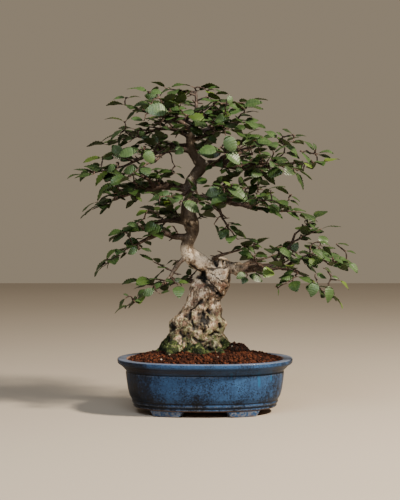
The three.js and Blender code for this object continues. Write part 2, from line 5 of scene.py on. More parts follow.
import bpy
import numpy as np
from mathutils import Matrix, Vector


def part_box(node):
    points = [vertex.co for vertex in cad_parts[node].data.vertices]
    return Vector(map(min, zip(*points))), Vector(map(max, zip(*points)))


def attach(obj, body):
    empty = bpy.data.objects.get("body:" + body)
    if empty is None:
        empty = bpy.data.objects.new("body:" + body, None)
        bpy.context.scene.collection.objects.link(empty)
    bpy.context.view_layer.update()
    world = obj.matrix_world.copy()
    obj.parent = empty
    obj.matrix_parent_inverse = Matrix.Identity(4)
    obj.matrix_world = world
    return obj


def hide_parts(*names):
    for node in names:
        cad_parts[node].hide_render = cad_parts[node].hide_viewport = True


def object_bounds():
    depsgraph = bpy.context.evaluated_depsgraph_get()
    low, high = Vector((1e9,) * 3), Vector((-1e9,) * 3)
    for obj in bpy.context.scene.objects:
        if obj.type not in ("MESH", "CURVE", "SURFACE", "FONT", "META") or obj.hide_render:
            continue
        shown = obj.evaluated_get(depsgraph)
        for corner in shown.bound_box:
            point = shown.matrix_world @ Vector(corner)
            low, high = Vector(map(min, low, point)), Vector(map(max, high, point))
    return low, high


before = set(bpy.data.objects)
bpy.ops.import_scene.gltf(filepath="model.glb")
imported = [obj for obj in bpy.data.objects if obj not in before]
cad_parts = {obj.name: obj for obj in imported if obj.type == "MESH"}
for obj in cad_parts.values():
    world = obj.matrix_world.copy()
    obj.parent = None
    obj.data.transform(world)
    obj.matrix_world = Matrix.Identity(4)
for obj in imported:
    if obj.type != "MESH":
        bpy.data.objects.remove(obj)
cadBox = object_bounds()
potLow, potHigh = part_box("pot")
potMiddle = np.array([(potLow.x + potHigh.x) / 2, (potLow.y + potHigh.y) / 2, 0.0])
boxLow, boxHigh = ((np.array(corner) - potMiddle) * 1000 + side for corner, side in zip(cadBox, (0.4, -0.4)))
sprayNodes = sorted(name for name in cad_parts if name.startswith("spray_"))
fullTurn = 2 * math.pi

# Paths of the wood: x, y, z and radius at every bend
wood = {
    "knob": [[4, 9, 156, 13], [13, 9, 168, 16.5], [18, 8, 183, 17], [20, 7, 198, 15.5], [22, 6, 210, 9.5]],
    "upper_trunk": [
        [20, 6, 190, 11.5], [13, 6, 195, 11.8], [4, 5, 198.5, 11.8], [-6, 3, 203.5, 11.8],
        [-15, 0, 209.5, 11.4], [-22, -2, 217, 10.6], [-24.5, -3, 225, 9.2], [-22.5, -4, 233, 8.2],
        [-18.5, -4, 240, 7.6], [-17, -3, 248, 8.8], [-19, -2, 258, 10.8], [-22.5, 0, 269, 10.8],
        [-22, 3, 281, 9.8], [-18, 5, 292, 9.2], [-20, 7, 303, 8.6], [-19, 8, 314, 8.2],
        [-12, 8, 325, 7.8], [-4, 6, 336, 7.8], [-10, 3, 344, 7], [-16, 1, 353, 6.5], [-20, -1, 364, 5.9],
        [-20, -2, 373, 5.3], [-16, -3, 384, 4.6], [-10, -4, 395, 3.8],
    ],
    "low_right": [
        [26, 4, 198, 7], [40, 1, 196, 6.6], [54, -3, 195, 6], [69, -7, 197, 5.4], [84, -9, 197, 5],
        [99, -12, 199, 4.3], [112, -14, 198, 3.4],
    ],
    "low_right_up": [[102, -12, 201, 2.8], [107, -18, 216, 2.3], [116, -22, 229, 1.8], [121, -24, 243, 1.5]],
    "low_right_out": [[110, -14, 198, 3], [126, -16, 209, 2.4], [144, -12, 213, 2], [162, -6, 207, 1.5]],
    "low_right_low": [[105, -14, 197, 2.7], [120, -24, 194, 2.1], [133, -32, 188, 1.7]],
    "low_right_near": [[62, -7, 197, 3.4], [71, -30, 200, 2.6], [80, -52, 197, 1.8]],
    "low_right_rear": [[51, -3, 198, 3.6], [64, 26, 204, 2.6], [80, 50, 206, 1.8]],
    "inner": [[10, 4, 208, 2.4], [20, -12, 214, 2], [36, -22, 219, 1.5]],
    "low_left_near": [[-22, -2, 217, 3.4], [-38, -14, 200, 2.6], [-49, -22, 183, 2.1], [-62, -30, 172, 1.7]],
    "low_left_far": [[-10, 8, 176, 3.4], [-29, 20, 179, 2.5], [-46, 32, 173, 1.8]],
    "middle_left_low": [
        [-23, -4, 238, 4.6], [-42, -6, 240, 3.7], [-57, -10, 244, 3.1], [-73, -16, 239, 2.7],
        [-89, -22, 231, 2],
    ],
    "middle_left_back": [[-23, 0, 258, 3.6], [-50, 16, 261, 2.7], [-72, 32, 257, 1.9]],
    "middle_left": [
        [-20, 7, 303, 5.6], [-42, 3, 308, 4.7], [-61, -1, 307, 4], [-80, -5, 303, 3.3],
        [-98, -9, 299, 2.6], [-114, -13, 293, 1.8],
    ],
    "middle_left_up": [[-67, -1, 305, 2.6], [-76, -16, 316, 2.1], [-90, -28, 323, 1.6]],
    "middle_left_rear": [[-48, 3, 308, 3.3], [-65, 30, 312, 2.4], [-83, 54, 311, 1.8]],
    "upper_left": [
        [-18, 0, 356, 3.7], [-39, -6, 358, 3], [-62, -12, 354, 2.5], [-85, -18, 346, 2],
        [-108, -22, 335, 1.6],
    ],
    "upper_left_near": [[-44, -7, 358, 2.6], [-56, -28, 352, 2.1], [-64, -46, 343, 1.6]],
    "upper_left_rear": [[-19, -1, 362, 3.3], [-43, 18, 365, 2.6], [-66, 36, 370, 1.8]],
    "top_left": [[-19, -3, 374, 3.4], [-40, 4, 385, 2.6], [-62, 10, 386, 2.1], [-82, 14, 380, 1.6]],
    "top_left_near": [[-18, -4, 384, 3.1], [-38, -16, 397, 2.4], [-62, -28, 403, 1.8]],
    "top_left_rear": [[-14, -4, 390, 2.7], [-32, 16, 400, 2.1], [-52, 32, 404, 1.6]],
    "apex": [[-11, -4, 392, 2.7], [-12, -2, 414, 2], [-12, 0, 436, 1.5]],
    "apex_rear": [[-12, -3, 389, 2.6], [-6, 22, 402, 1.8]],
    "apex_near": [[-14, -4, 387, 2.7], [-14, -28, 398, 1.8]],
    "top_right_up": [[-10, -4, 393, 2.4], [4, 0, 410, 1.8], [16, 6, 420, 1.5]],
    "top_right": [[-16, -3, 382, 3], [2, -10, 384, 2.4], [22, -18, 390, 1.8]],
    "top_right_rear": [[-19, -2, 370, 3.1], [2, 20, 378, 2.4], [25, 40, 388, 1.8]],
    "upper_right": [
        [-3, 6, 337, 5], [14, 3, 339, 4.3], [33, 0, 335, 3.7], [56, -4, 333, 3.3], [80, -8, 334, 2.7],
        [103, -12, 338, 1.9],
    ],
    "upper_right_up": [[15, 3, 339, 3.3], [30, -14, 350, 2.6], [47, -30, 357, 1.8]],
    "upper_right_rear": [[23, 0, 338, 3.4], [45, 28, 352, 2.6], [70, 50, 364, 1.8]],
    "upper_right_near": [[52, -4, 333, 3], [66, -28, 337, 2.3], [81, -48, 338, 1.7]],
    "middle_right": [
        [-18, 5, 290, 4.7], [1, 2, 293, 4], [19, -3, 290, 3.4], [39, -8, 285, 2.8], [60, -12, 280, 2.3],
        [80, -16, 276, 1.7],
    ],
    "middle_right_up": [[0, 2, 293, 3.3], [20, 18, 299, 2.6], [42, 32, 304, 1.8]],
    "middle_right_low": [[10, -1, 290, 2.7], [19, -14, 276, 1.9], [24, -20, 264, 1.5]],
    "middle_right_near": [[29, -5, 287, 3], [42, -30, 290, 2.3], [56, -50, 290, 1.7]],
    "middle_right_rear": [[-9, 4, 291, 3.4], [8, 32, 296, 2.6], [24, 58, 299, 1.8]],
    "rear_low": [[-22, -3, 250, 4], [-29, 28, 259, 3], [-38, 54, 264, 1.9]],
    "rear_high": [[-11, 4, 341, 3.6], [-14, 34, 352, 2.6], [-22, 60, 358, 1.8]],
    "near_middle": [[-19, 8, 304, 3.4], [-25, -24, 299, 2.4], [-32, -42, 295, 1.7]],
}

# Leafy sprays on each limb: how far along it, heading from +X in plan, rise above level, leaves
sprays = {
    "low_right_up": [[0.7, -30, 22, 5], [1, 30, 34, 5]],
    "low_right_out": [[0.4, 55, 14, 5], [0.7, -55, 2, 6], [1, 10, -8, 3]],
    "low_right_low": [[0.6, -95, -10, 5], [1, -30, -34, 6]],
    "low_right_near": [[1, -55, 4, 6]],
    "low_right_rear": [[1, 50, 10, 6]],
    "inner": [[1, -10, 15, 4]],
    "low_left_near": [[0.7, 150, 8, 5], [1, 200, -24, 6]],
    "low_left_far": [[1, 150, -6, 5]],
    "middle_left_low": [[0.6, -125, 8, 6], [1, 196, -24, 7]],
    "middle_left_back": [[0.5, 100, 12, 5], [1, 165, -12, 6]],
    "middle_left": [[0.45, 115, 16, 5], [0.7, -125, 2, 6], [1, 196, -22, 5]],
    "middle_left_up": [[0.5, -90, 14, 4], [1, 191, 8, 6]],
    "middle_left_rear": [[1, 145, 6, 7]],
    "upper_left": [[0.7, 140, 6, 5], [1, 186, -12, 7]],
    "upper_left_near": [[1, -140, -18, 6]],
    "upper_left_rear": [[1, 145, 10, 6]],
    "top_left": [[0.5, 110, 18, 5], [1, 170, -8, 7]],
    "top_left_near": [[0.5, -140, 34, 5], [1, 196, 22, 6]],
    "top_left_rear": [[1, 140, 14, 6]],
    "apex": [[1, 175, 4, 5]],
    "apex_rear": [[1, 70, 8, 6]],
    "apex_near": [[1, -115, 4, 6]],
    "top_right_up": [[1, 35, 6, 6]],
    "top_right": [[0.6, -95, 8, 5], [1, -30, 10, 6]],
    "top_right_rear": [[1, 35, 8, 7]],
    "upper_right": [[0.6, -65, -10, 5], [1, 2, 4, 7]],
    "upper_right_up": [[0.6, -120, 2, 5], [1, -40, 8, 6]],
    "upper_right_rear": [[1, 28, 12, 7]],
    "upper_right_near": [[1, -40, -4, 7]],
    "middle_right": [[0.6, 40, 10, 5], [1, -6, -4, 6]],
    "middle_right_up": [[1, 30, 6, 6]],
    "middle_right_low": [[1, -55, -42, 5]],
    "middle_right_near": [[0.5, -120, 6, 4], [1, -40, 2, 6]],
    "middle_right_rear": [[1, 75, 4, 6]],
    "rear_low": [[1, 120, 2, 6]],
    "rear_high": [[1, 100, 6, 4]],
    "near_middle": [[1, -125, -4, 6]],
}

# Sections of the lower trunk from the soil up: height, centre x, centre y, half width, half depth
lowerTrunk = [
    [83, -13, 9, 46, 34], [88, -13, 9, 43, 32], [95, -11, 9, 38, 31], [104, -14, 9, 34.5, 30],
    [119, -11.5, 8, 37, 31], [130, -9.5, 8, 31, 27.5], [136, -7, 8, 28, 25], [148, -4, 8, 23.2, 21.5],
    [160, -2, 8, 21.4, 19.5], [170, -1, 8, 19.5, 17.5], [178, -0.5, 8, 16.8, 14.5],
    [184, 1, 9, 14, 12], [189.5, 4, 9, 10.5, 9], [193, 6, 9, 6, 5],
]


# A draw between 0 and 1 that is the same on every run
def draw(key):
    wave = math.sin(key * 12.9898) * 43758.5453
    return wave - math.floor(wave)


# Vectors scaled to length one
def unit(vectors):
    return vectors / np.linalg.norm(vectors, axis=-1, keepdims=True)


# 0 below low, 1 above high, and a smooth s-curve between
def rise(values, low, high):
    t = np.clip((values - low) / (high - low), 0, 1)
    return t * t * (3 - 2 * t)


# Points on the smooth curve through the rows of a table, evenly spread by row: between two rows
# it is the cubic whose slope at each row is half the step from the row before to the row after
def curveThrough(rows, steps):
    rows = np.asarray(rows, float)
    padded = np.vstack([2 * rows[0] - rows[1], rows, 2 * rows[-1] - rows[-2]])
    place = np.arange(steps + 1) / steps * (len(rows) - 1)
    before = np.minimum(place.astype(int), len(rows) - 2)
    t = (place - before)[:, None]
    a, b, c, d = (padded[before + k] for k in range(4))
    start, end = 0.5 * (c - a), 0.5 * (d - b)
    return b + start * t + (3 * (c - b) - 2 * start - end) * t**2 + (2 * (b - c) + start + end) * t**3


# The same curve for a limb, whose radius runs straight from bend to bend
def limbCurve(path, steps):
    curve = curveThrough(path, steps)
    place = np.arange(steps + 1) / steps * (len(path) - 1)
    curve[:, 3] = np.interp(place, np.arange(len(path)), [row[3] for row in path])
    return curve


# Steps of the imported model's tubes: 20 on the upper trunk, five to every four bends elsewhere
def coarseSteps(name, path):
    return 20 if name == "upper_trunk" else math.floor(1.25 * (len(path) - 1) + 0.5)


# Distances from each point of a path to the next; a fourth column, the radius, is passed over
def stepLengths(path):
    return np.linalg.norm(np.diff(np.asarray(path, float)[:, :3], axis=0), axis=1)


# How far along a path each of its points lies: the steps before it, added up
def lengthAlong(path):
    return np.r_[0, np.cumsum(stepLengths(path))]


limbPaths = {name: limbCurve(path, coarseSteps(name, path)) for name, path in wood.items()}
limbNames = [name for name in wood if name not in ("knob", "upper_trunk")]
firstLimb = len(wood) - len(limbNames)

# Leaf layout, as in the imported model
twig = {"lead": 9, "internode": 8.2, "zigzag": 15, "wander": 16, "baseRadius": 1.35, "tipRadius": 0.75}
leaf = {
    "length": 25.5, "spread": 6, "widthShare": 0.6, "arch": 0.09, "clearance": 1.15, "ownClearance": 0.9,
    "woodClearance": 0.9, "firstShare": 0.8, "tipTurnShare": 0.25, "turn": 48, "turnSpread": 18,
    "riseSpread": 40, "rollSpread": 70,
}

# Bends that are tried in turn until a twig or a blade is clear: turn, rise, roll
bends = [
    [0, 0, 0], [8, 10, 0], [-8, 12, 0], [6, -12, 0], [0, 20, 12], [12, -20, -12], [-16, 6, 24], [18, 24, -20],
    [-24, -18, 20], [26, 8, -30], [-30, 26, 30],
]


# The unit vector of a heading in plan, measured from +X, and a rise above level, both in degrees
def headingOf(azimuth, lift):
    turn, climb = math.radians(azimuth), math.radians(lift)
    return np.array([math.cos(turn) * math.cos(climb), math.sin(turn) * math.cos(climb), math.sin(climb)])


# A twig's nodes: each step turns to the other side by the zigzag and wanders a little in turn and rise
def twigPath(start, azimuth, lift, leaves, key, internode=twig["internode"]):
    nodes = [start]
    turn, reach = azimuth, twig["lead"]
    for i in range(leaves):
        nodes.append(nodes[-1] + headingOf(turn, lift) * reach)
        swing = twig["zigzag"] * (1.6 if i % 2 else -1.6) * (0.5 if i == 0 else 1)
        turn += swing + twig["wander"] * (draw(key + 3.1 * i) - 0.5)
        lift += 12 * (draw(key + 5.7 * i) - 0.55)
        reach = internode * (0.85 + 0.3 * draw(key + 7.3 * i))
    return np.array(nodes)


# Points along a path no more than 2 mm apart, each with a radius in the fourth column
def beadsAlong(points, radiusAt):
    beads = []
    for i in range(len(points) - 1):
        steps = math.ceil(np.linalg.norm(points[i + 1] - points[i]) / 2)
        for step in range(steps):
            share = step / steps
            beads.append([*(points[i] + (points[i + 1] - points[i]) * share), radiusAt(i + share)])
    beads.append([*points[-1], radiusAt(len(points) - 1)])
    return np.array(beads)


# Half width over length at a share of the blade: a sine bulge set towards the base, its tip drawn out
def bladeWidth(share):
    return 0.5 * leaf["widthShare"] * np.sin(math.pi * np.clip(share, 0, 1) ** 0.85) ** 0.8


# Rise of the midrib over length at a share of the blade: a parabola that is highest halfway
def bladeArch(share):
    return leaf["arch"] * (1 - (2 * share - 1) ** 2)


# Directions along a blade, across it and out of its face: the face turns as far up as the heading lets
# it, leans by the plan vector given, and then rolls about the blade's own length
def bladeFrame(azimuth, lift, lean, roll):
    along = headingOf(azimuth, lift)
    up = np.array([lean[0], lean[1], 1.0])
    face = unit(up - along * (up @ along))
    across = np.cross(face, along)
    tilt = math.radians(roll)
    return (along, across * math.cos(tilt) + face * math.sin(tilt),
            face * math.cos(tilt) - across * math.sin(tilt))


# Points on a blade at which it is tested: nine rows along it, five points across each
def bladeBeads(base, along, across, face, length):
    share = np.repeat(np.arange(1, 10) / 9, 5)[:, None]
    side = np.tile([-1, -0.5, 0, 0.5, 1], 9)[:, None]
    return (base + share * length * along + side * bladeWidth(share) * length * across
            + bladeArch(share) * length * face)


# Whether points come closer to blades than the margin, for arrays that match in their leading sizes
def nearBlade(base, along, across, face, length, at, margin):
    offset = at - base
    share = (offset * along).sum(-1) / length
    half = bladeWidth(np.clip(share, 0, 0.98)) * length + margin
    return ((share >= 0.04) & (share <= 1 + margin / length) & (np.abs((offset * across).sum(-1)) <= half)
            & (np.abs((offset * face).sum(-1) - bladeArch(share) * length) < margin))


# Everything laid so far: blades in arrays with room to spare, and the beads of wood and of twigs, each
# with its radius; shown holds the middle and the half width of the leaves that have to stay in view
class Layout:
    def __init__(self, capacity=1600):
        self.count = 0
        self.base, self.along, self.across, self.face = (np.zeros((capacity, 1, 3)) for _ in range(4))
        # each blade's length, and how much painted sheen its colour gets
        self.length, self.sky = np.zeros((capacity, 1)), np.zeros(capacity)
        self.beads = np.zeros((capacity, 45, 3))
        self.spray = np.zeros(capacity, int)
        self.wood = np.zeros((0, 4))
        self.twigs = np.zeros((0, 5))
        self.shown = np.zeros((0, 4))

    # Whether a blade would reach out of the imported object's box
    def reachesOut(self, base, frameOfBlade, length):
        beads = bladeBeads(base, *frameOfBlade, length)
        return (beads < boxLow + 2).any() or (beads > boxHigh - 2).any()

    # Whether a blade would stand before a leaf that the photograph shows whole
    def hides(self, base, frameOfBlade, length):
        middle = base + frameOfBlade[0] * length * 0.55
        apart = np.hypot(*(self.shown[:, [0, 2]] - middle[[0, 2]]).T)
        return ((apart < self.shown[:, 3] + 0.3 * length) & (middle[1] < self.shown[:, 1])).any()

    # Takes a blade in, with the beads that stand for it
    def add(self, spray, base, frameOfBlade, length):
        i = self.count
        self.base[i, 0], self.spray[i], self.length[i] = base, spray, length
        self.along[i, 0], self.across[i, 0], self.face[i, 0] = frameOfBlade
        self.beads[i] = bladeBeads(base, *frameOfBlade, length)
        self.count += 1

    # Whether a blade keeps the margins from every blade, limb and twig of another spray laid so far;
    # within its own spray the first three rows from the base aren't counted
    def clear(self, spray, base, frameOfBlade, length):
        n = self.count
        beads = bladeBeads(base, *frameOfBlade, length)
        reach = np.linalg.norm(self.base[:n, 0] - base, axis=1) < length + self.length[:n, 0] + 4
        near = np.nonzero(reach)[0]
        own = self.spray[near] == spray
        margin = np.where(own, leaf["ownClearance"], leaf["clearance"])[:, None]
        counted = ~(own[:, None] & (np.arange(45) < 15))
        others = [part[near] for part in (self.base, self.along, self.across, self.face, self.length)]
        if (nearBlade(*others, beads[None], margin) & counted).any():
            return False
        if (nearBlade(base, *frameOfBlade, length, self.beads[near], margin) & counted).any():
            return False
        close = self.wood[np.linalg.norm(self.wood[:, :3] - base, axis=1) < length + self.wood[:, 3]]
        if nearBlade(base, *frameOfBlade, length, close[:, :3], close[:, 3] + leaf["woodClearance"]).any():
            return False
        other = self.twigs[self.twigs[:, 4] != spray]
        margin = other[:, 3] + leaf["woodClearance"]
        return not nearBlade(base, *frameOfBlade, length, other[:, :3], margin).any()

    # Whether a twig's beads, each a ball, keep 0.8 mm from other twigs and, but for its first five, from wood
    def twigIsClear(self, candidate):
        # Whether any two of their balls come within 0.8 mm of each other
        def touches(some, those):
            apart = np.linalg.norm(some[:, None, :3] - those[None, :, :3], axis=2)
            return (apart < some[:, None, 3] + those[None, :, 3] + 0.8).any()
        return not touches(candidate[5:], self.wood) and not touches(candidate, self.twigs)


layout = Layout()
woodBeads = [
    beadsAlong(path[:, :3], lambda place, path=path: path[math.floor(place + 0.5), 3])
    for path in limbPaths.values()
]
trunkBeads = np.array([[x, y, z, (wide + deep) / 2] for z, x, y, wide, deep in lowerTrunk])
layout.wood = np.vstack([*woodBeads, trunkBeads])


# Lays a twig at the first bend where it is clear, or at the last one if it has to stay
def growTwig(start, azimuth, lift, leaves, key, internode=twig["internode"], mustStay=True):
    index = len(laidTwigs)
    ends = [twig["baseRadius"], twig["tipRadius"]]
    for turn, addLift, _ in bends:
        nodes = twigPath(start, azimuth + turn, lift + addLift, leaves, key, internode)
        beads = beadsAlong(nodes, lambda node: np.interp(node / leaves, [0, 1], ends))
        if layout.twigIsClear(beads) or (mustStay and turn == bends[-1][0]):
            layout.twigs = np.vstack([layout.twigs, np.c_[beads, np.full(len(beads), index)]])
            laidTwigs.append({"nodes": nodes, "key": key, "index": index})
            return


# Lays a twig's leaves from its tip back, one at each node and on alternate sides, each at the first
# bend where its blade is clear; a filling leaf also stays in the box and hides no leaf that is shown
def layLeaves(spray, baseLength=leaf["length"], filling=False):
    nodes, key = spray["nodes"], spray["key"]
    last = len(nodes) - 1
    for i in range(last, 0, -1):
        step = nodes[i] - nodes[i - 1]
        heading = math.degrees(math.atan2(step[1], step[0]))
        climb = math.degrees(math.atan2(step[2], math.hypot(step[0], step[1])))
        pick = [draw(key + 1.7 * i + 0.61 * n) for n in range(7)]
        side = leaf["tipTurnShare"] if i == last else 1
        turn = (1 if i % 2 else -1) * side * (leaf["turn"] + leaf["turnSpread"] * pick[1])
        length = baseLength * (leaf["firstShare"] if i == 1 else 1) + leaf["spread"] * (2 * pick[2] - 1)
        out = unit(nodes[i] * [1, 1, 0])
        lean = [0.8 * (pick[3] - 0.5) + 0.2 * out[0], 0.9 * (pick[4] - 0.5) + 0.4 * out[1] - 0.2]
        for addTurn, addRise, roll in bends:
            lift = 0.6 * climb + leaf["riseSpread"] * (pick[5] - 0.6) + addRise
            tilt = leaf["rollSpread"] * (pick[6] - 0.5) + roll
            blade = (nodes[i], bladeFrame(heading + turn + addTurn, lift, lean, tilt), length)
            if filling and (layout.hides(*blade) or layout.reachesOut(*blade)):
                continue
            if layout.clear(spray["index"], *blade):
                layout.add(spray["index"], *blade)
                break


laidTwigs = []
for limb, rows in sprays.items():
    path = limbPaths[limb]
    for place, azimuth, lift, leaves in rows:
        start = path[math.floor(place * (len(path) - 1) + 0.5), :3]
        growTwig(start, azimuth, lift, leaves, 11 * len(laidTwigs) + 0.37)
for spray in list(laidTwigs):
    layLeaves(spray)
print("laid out", len(laidTwigs), "sprays with", layout.count, "leaves")


# The photograph's camera, about the pot's middle: place in mm, pitch down, focal length in pixels
photoCamera = {
    "place": (-6.8, -2000.0, 292.5), "pitch": 2.05, "focal": 1466.0, "middle": (200, 250), "longSide": 500,
}


# Where pixels of the photograph fall on the upright plane at depth y, as x, y, z
def fromPhoto(pixels, y):
    pitch = math.radians(photoCamera["pitch"])
    right = np.array([1.0, 0, 0])
    ahead = np.array([0, math.cos(pitch), -math.sin(pitch)])
    down = np.array([0, -math.sin(pitch), -math.cos(pitch)])
    offset = np.asarray(pixels, float) - photoCamera["middle"]
    ray = ahead * photoCamera["focal"] + offset[:, :1] * right + offset[:, 1:] * down
    place = np.array(photoCamera["place"])
    return place + ray * ((y - place[1]) / ray[:, 1:2])


# Leaves that the photograph shows apart, by pad: pixels of base and tip, and how openly the blade faces
# the viewer, from 0 on edge to 1, below 0 where its underside shows
seenLeaves = {
    "top": [
        [170, 112, 145, 110, 0.9], [149, 93, 126, 88, 0.3], [149, 93, 163, 93, 0.7],
        [126, 98, 113, 99, 0.45], [128, 98, 141, 97, 0.25], [161, 104, 179, 97, -0.45],
        [166, 105, 187, 102, -0.4], [170, 112, 187, 108, 0.5], [170, 116, 185, 113, -0.4],
        [152, 104, 134, 107, 0.5], [126, 121, 135, 112, 0.5], [125, 122, 104, 119, 0.15],
        [126, 128, 110, 139, 0.35], [119, 135, 100, 141, 0.15], [126, 132, 118, 148, 0.4],
        [139, 136, 121, 146, 0.4], [130, 142, 117, 149, -0.35], [147, 133, 137, 135, 0.8],
        [141, 129, 134, 131, 0.5], [144, 121, 131, 118, 0.6], [154, 125, 144, 127, 0.3],
        [193, 86, 171, 86, 0.2], [192, 112, 205, 108, 0.35], [183, 133, 170, 135, -0.35],
        [180, 147, 172, 141, 0.7], [199, 85, 220, 85, -0.3], [198, 91, 212, 87, -0.4],
        [207, 91, 217, 87, 0.5], [214, 90, 221, 92, 0.4], [229, 94, 230, 105, 0.9],
        [241, 108, 263, 103, 0.6], [243, 109, 264, 109, 0.2], [227, 115, 245, 109, 0.6],
        [244, 113, 259, 112, 0.15], [239, 117, 253, 116, 0.35], [226, 106, 238, 108, 0.6],
        [217, 108, 227, 115, 0.35], [219, 110, 210, 108, 0.6], [223, 121, 206, 115, 0.25],
        [224, 128, 217, 124, 0.4], [214, 132, 203, 135, -0.35], [222, 133, 212, 138, -0.6],
        [163, 120, 176, 117, 0.6], [186, 118, 175, 121, 0.5], [197, 117, 208, 121, 0.5],
        [160, 127, 171, 131, 0.4], [192, 125, 203, 122, 0.4],
    ],
    "upper_left": [
        [138, 151, 118, 156, 0.8], [144, 149, 154, 164, 1], [176, 148, 156, 154, -0.4],
        [104, 156, 117, 154, 0.5], [103, 158, 83, 163, 0.4], [101, 165, 90, 167, -0.7],
        [94, 172, 73, 170, 0.2], [95, 175, 75, 178, 0.35], [117, 164, 107, 173, 0.8],
        [118, 169, 96, 186, 0.35], [126, 166, 119, 174, 0.5], [131, 178, 119, 182, -0.5],
        [145, 179, 136, 181, 0.5], [148, 177, 157, 174, 0.2], [153, 178, 160, 179, -0.5],
        [172, 172, 164, 175, 0.3], [175, 166, 182, 168, 0.2], [175, 173, 185, 179, 0.4],
        [114, 183, 98, 202, 0.3], [118, 187, 112, 192, 0.5], [123, 191, 117, 196, 0.4],
        [132, 193, 114, 200, 0.55], [115, 199, 95, 205, 0.3], [97, 202, 82, 212, 0.15],
        [110, 205, 99, 214, 0.4], [136, 200, 126, 209, -0.6], [134, 196, 142, 202, 0.5],
        [169, 200, 152, 197, 0.8], [172, 203, 183, 196, 0.7], [181, 201, 200, 212, 0.75],
        [160, 204, 154, 206, 0.5],
    ],
    "middle_left": [
        [149, 210, 136, 216, 0.5], [181, 205, 174, 211, 0.5], [159, 216, 147, 218, 0.3],
        [160, 221, 148, 224, 0.3], [144, 219, 132, 224, 0.3], [137, 224, 126, 229, 0.3],
        [124, 231, 108, 236, 0.5], [127, 233, 112, 242, 0.6], [152, 236, 142, 237, 0.3],
        [172, 226, 166, 229, 0.6], [177, 232, 171, 235, 0.6], [106, 260, 117, 249, 0.5],
        [139, 249, 127, 254, 0.9], [138, 246, 131, 250, 0.6], [140, 248, 152, 252, 0.4],
        [127, 253, 120, 259, 0.5], [120, 256, 110, 261, 0.4], [110, 259, 98, 268, 0.25],
    ],
    "upper_right": [
        [233, 131, 249, 140, 0.3], [225, 134, 235, 153, 1], [220, 149, 197, 153, 0.7],
        [224, 153, 241, 165, 0.8], [263, 138, 247, 135, 0.4], [253, 141, 274, 145, 0.55],
        [278, 139, 264, 131, 0.6], [283, 137, 276, 132, 0.5], [293, 135, 282, 129, 0.35],
        [294, 136, 307, 136, 0.3], [284, 137, 293, 138, 0.3], [294, 141, 301, 142, 0.3],
        [284, 145, 298, 155, 0.55], [315, 152, 303, 140, 0.4], [316, 151, 313, 143, 0.6],
        [317, 154, 334, 153, 0.25], [316, 155, 331, 158, 0.35], [284, 153, 300, 158, 0.5],
        [279, 157, 290, 163, 0.4], [300, 151, 312, 164, 0.35], [312, 163, 323, 164, 0.3],
        [253, 154, 238, 155, 0.2], [252, 153, 268, 149, -0.5], [245, 159, 254, 158, 0.4],
        [259, 157, 268, 165, 0.4], [282, 165, 295, 169, -0.6], [293, 162, 302, 169, 0.4],
        [304, 152, 311, 154, 0.4], [253, 167, 259, 178, -0.7], [294, 171, 304, 190, 0.4],
        [303, 173, 309, 176, 0.3], [270, 160, 280, 158, 0.4],
    ],
    "middle_right": [
        [257, 183, 270, 184, -0.7], [211, 186, 202, 187, -0.4], [224, 190, 205, 195, 0.9],
        [223, 187, 211, 184, 0.3], [231, 187, 222, 181, 0.4], [231, 185, 241, 186, 0.3],
        [249, 188, 242, 184, 0.4], [225, 187, 246, 199, 0.65], [224, 193, 232, 198, 0.35],
        [245, 194, 258, 203, 0.35], [255, 201, 269, 206, 0.35], [263, 204, 283, 219, 0.35],
        [258, 192, 272, 204, 0.4], [271, 190, 261, 193, -0.6], [290, 195, 275, 188, -0.4],
        [290, 196, 300, 202, 0.25], [289, 200, 299, 206, 0.35], [283, 202, 273, 202, 0.25],
        [279, 205, 292, 211, 0.4], [285, 211, 301, 220, 0.45], [218, 203, 209, 208, 0.25],
        [208, 208, 201, 210, 0.4], [218, 218, 200, 215, -0.5], [214, 224, 218, 236, 0.35],
        [226, 230, 227, 239, -0.9], [228, 226, 240, 233, 0.6], [229, 225, 242, 225, 0.2],
        [225, 228, 218, 228, 0.5],
    ],
    "low_right": [
        [306, 217, 318, 222, 0.25], [304, 223, 318, 232, 0.3], [302, 227, 308, 230, 0.5],
        [243, 246, 231, 251, 0.4], [244, 246, 255, 252, 0.5], [254, 244, 246, 243, 0.2],
        [254, 245, 262, 248, 0.4], [255, 254, 267, 255, -0.5], [277, 247, 292, 258, 0.6],
        [292, 254, 298, 242, 0.9], [283, 256, 297, 264, 0.45], [310, 249, 325, 259, 0.6],
        [298, 257, 318, 267, 0.55], [300, 237, 311, 240, 0.3], [317, 242, 331, 246, 0.25],
        [321, 246, 332, 256, -0.5], [336, 244, 349, 246, 0.2], [345, 251, 356, 254, 0.25],
        [348, 262, 358, 273, 0.7], [337, 258, 348, 262, 0.5], [331, 258, 343, 263, 0.4],
        [305, 264, 317, 274, 0.4], [315, 274, 327, 279, 0.6], [295, 270, 282, 279, 0.5],
        [317, 281, 310, 297, 0.95], [328, 284, 328, 303, 0.8], [331, 276, 339, 279, 0.5],
        [339, 280, 349, 291, 0.3], [323, 268, 332, 274, 0.4], [254, 272, 266, 275, -0.4],
        [275, 287, 284, 284, 0.3], [278, 288, 278, 296, 0.3],
    ],
    "low_left": [
        [174, 260, 166, 265, 0.25], [182, 261, 172, 266, -0.6], [164, 283, 151, 289, 0.5],
        [176, 281, 166, 287, 0.4], [191, 276, 179, 282, 0.4], [191, 279, 183, 284, 0.4],
        [156, 290, 142, 295, 0.9], [160, 294, 170, 291, 0.35], [126, 298, 118, 311, 0.35],
        [129, 296, 123, 294, 0.5], [134, 300, 143, 301, 0.4], [137, 297, 145, 289, 0.5],
    ],
}
seenLook = {
    "depths": [0, -4, 4, -8, 8, -13, 13, -18], "wander": 1.6, "sag": 0.12, "node": 7, "thickness": 0.85,
    "behind": 0.35, "sheen": 0.75, "frontFrom": 0.6, "frontmost": -62, "boxMargin": 2,
}


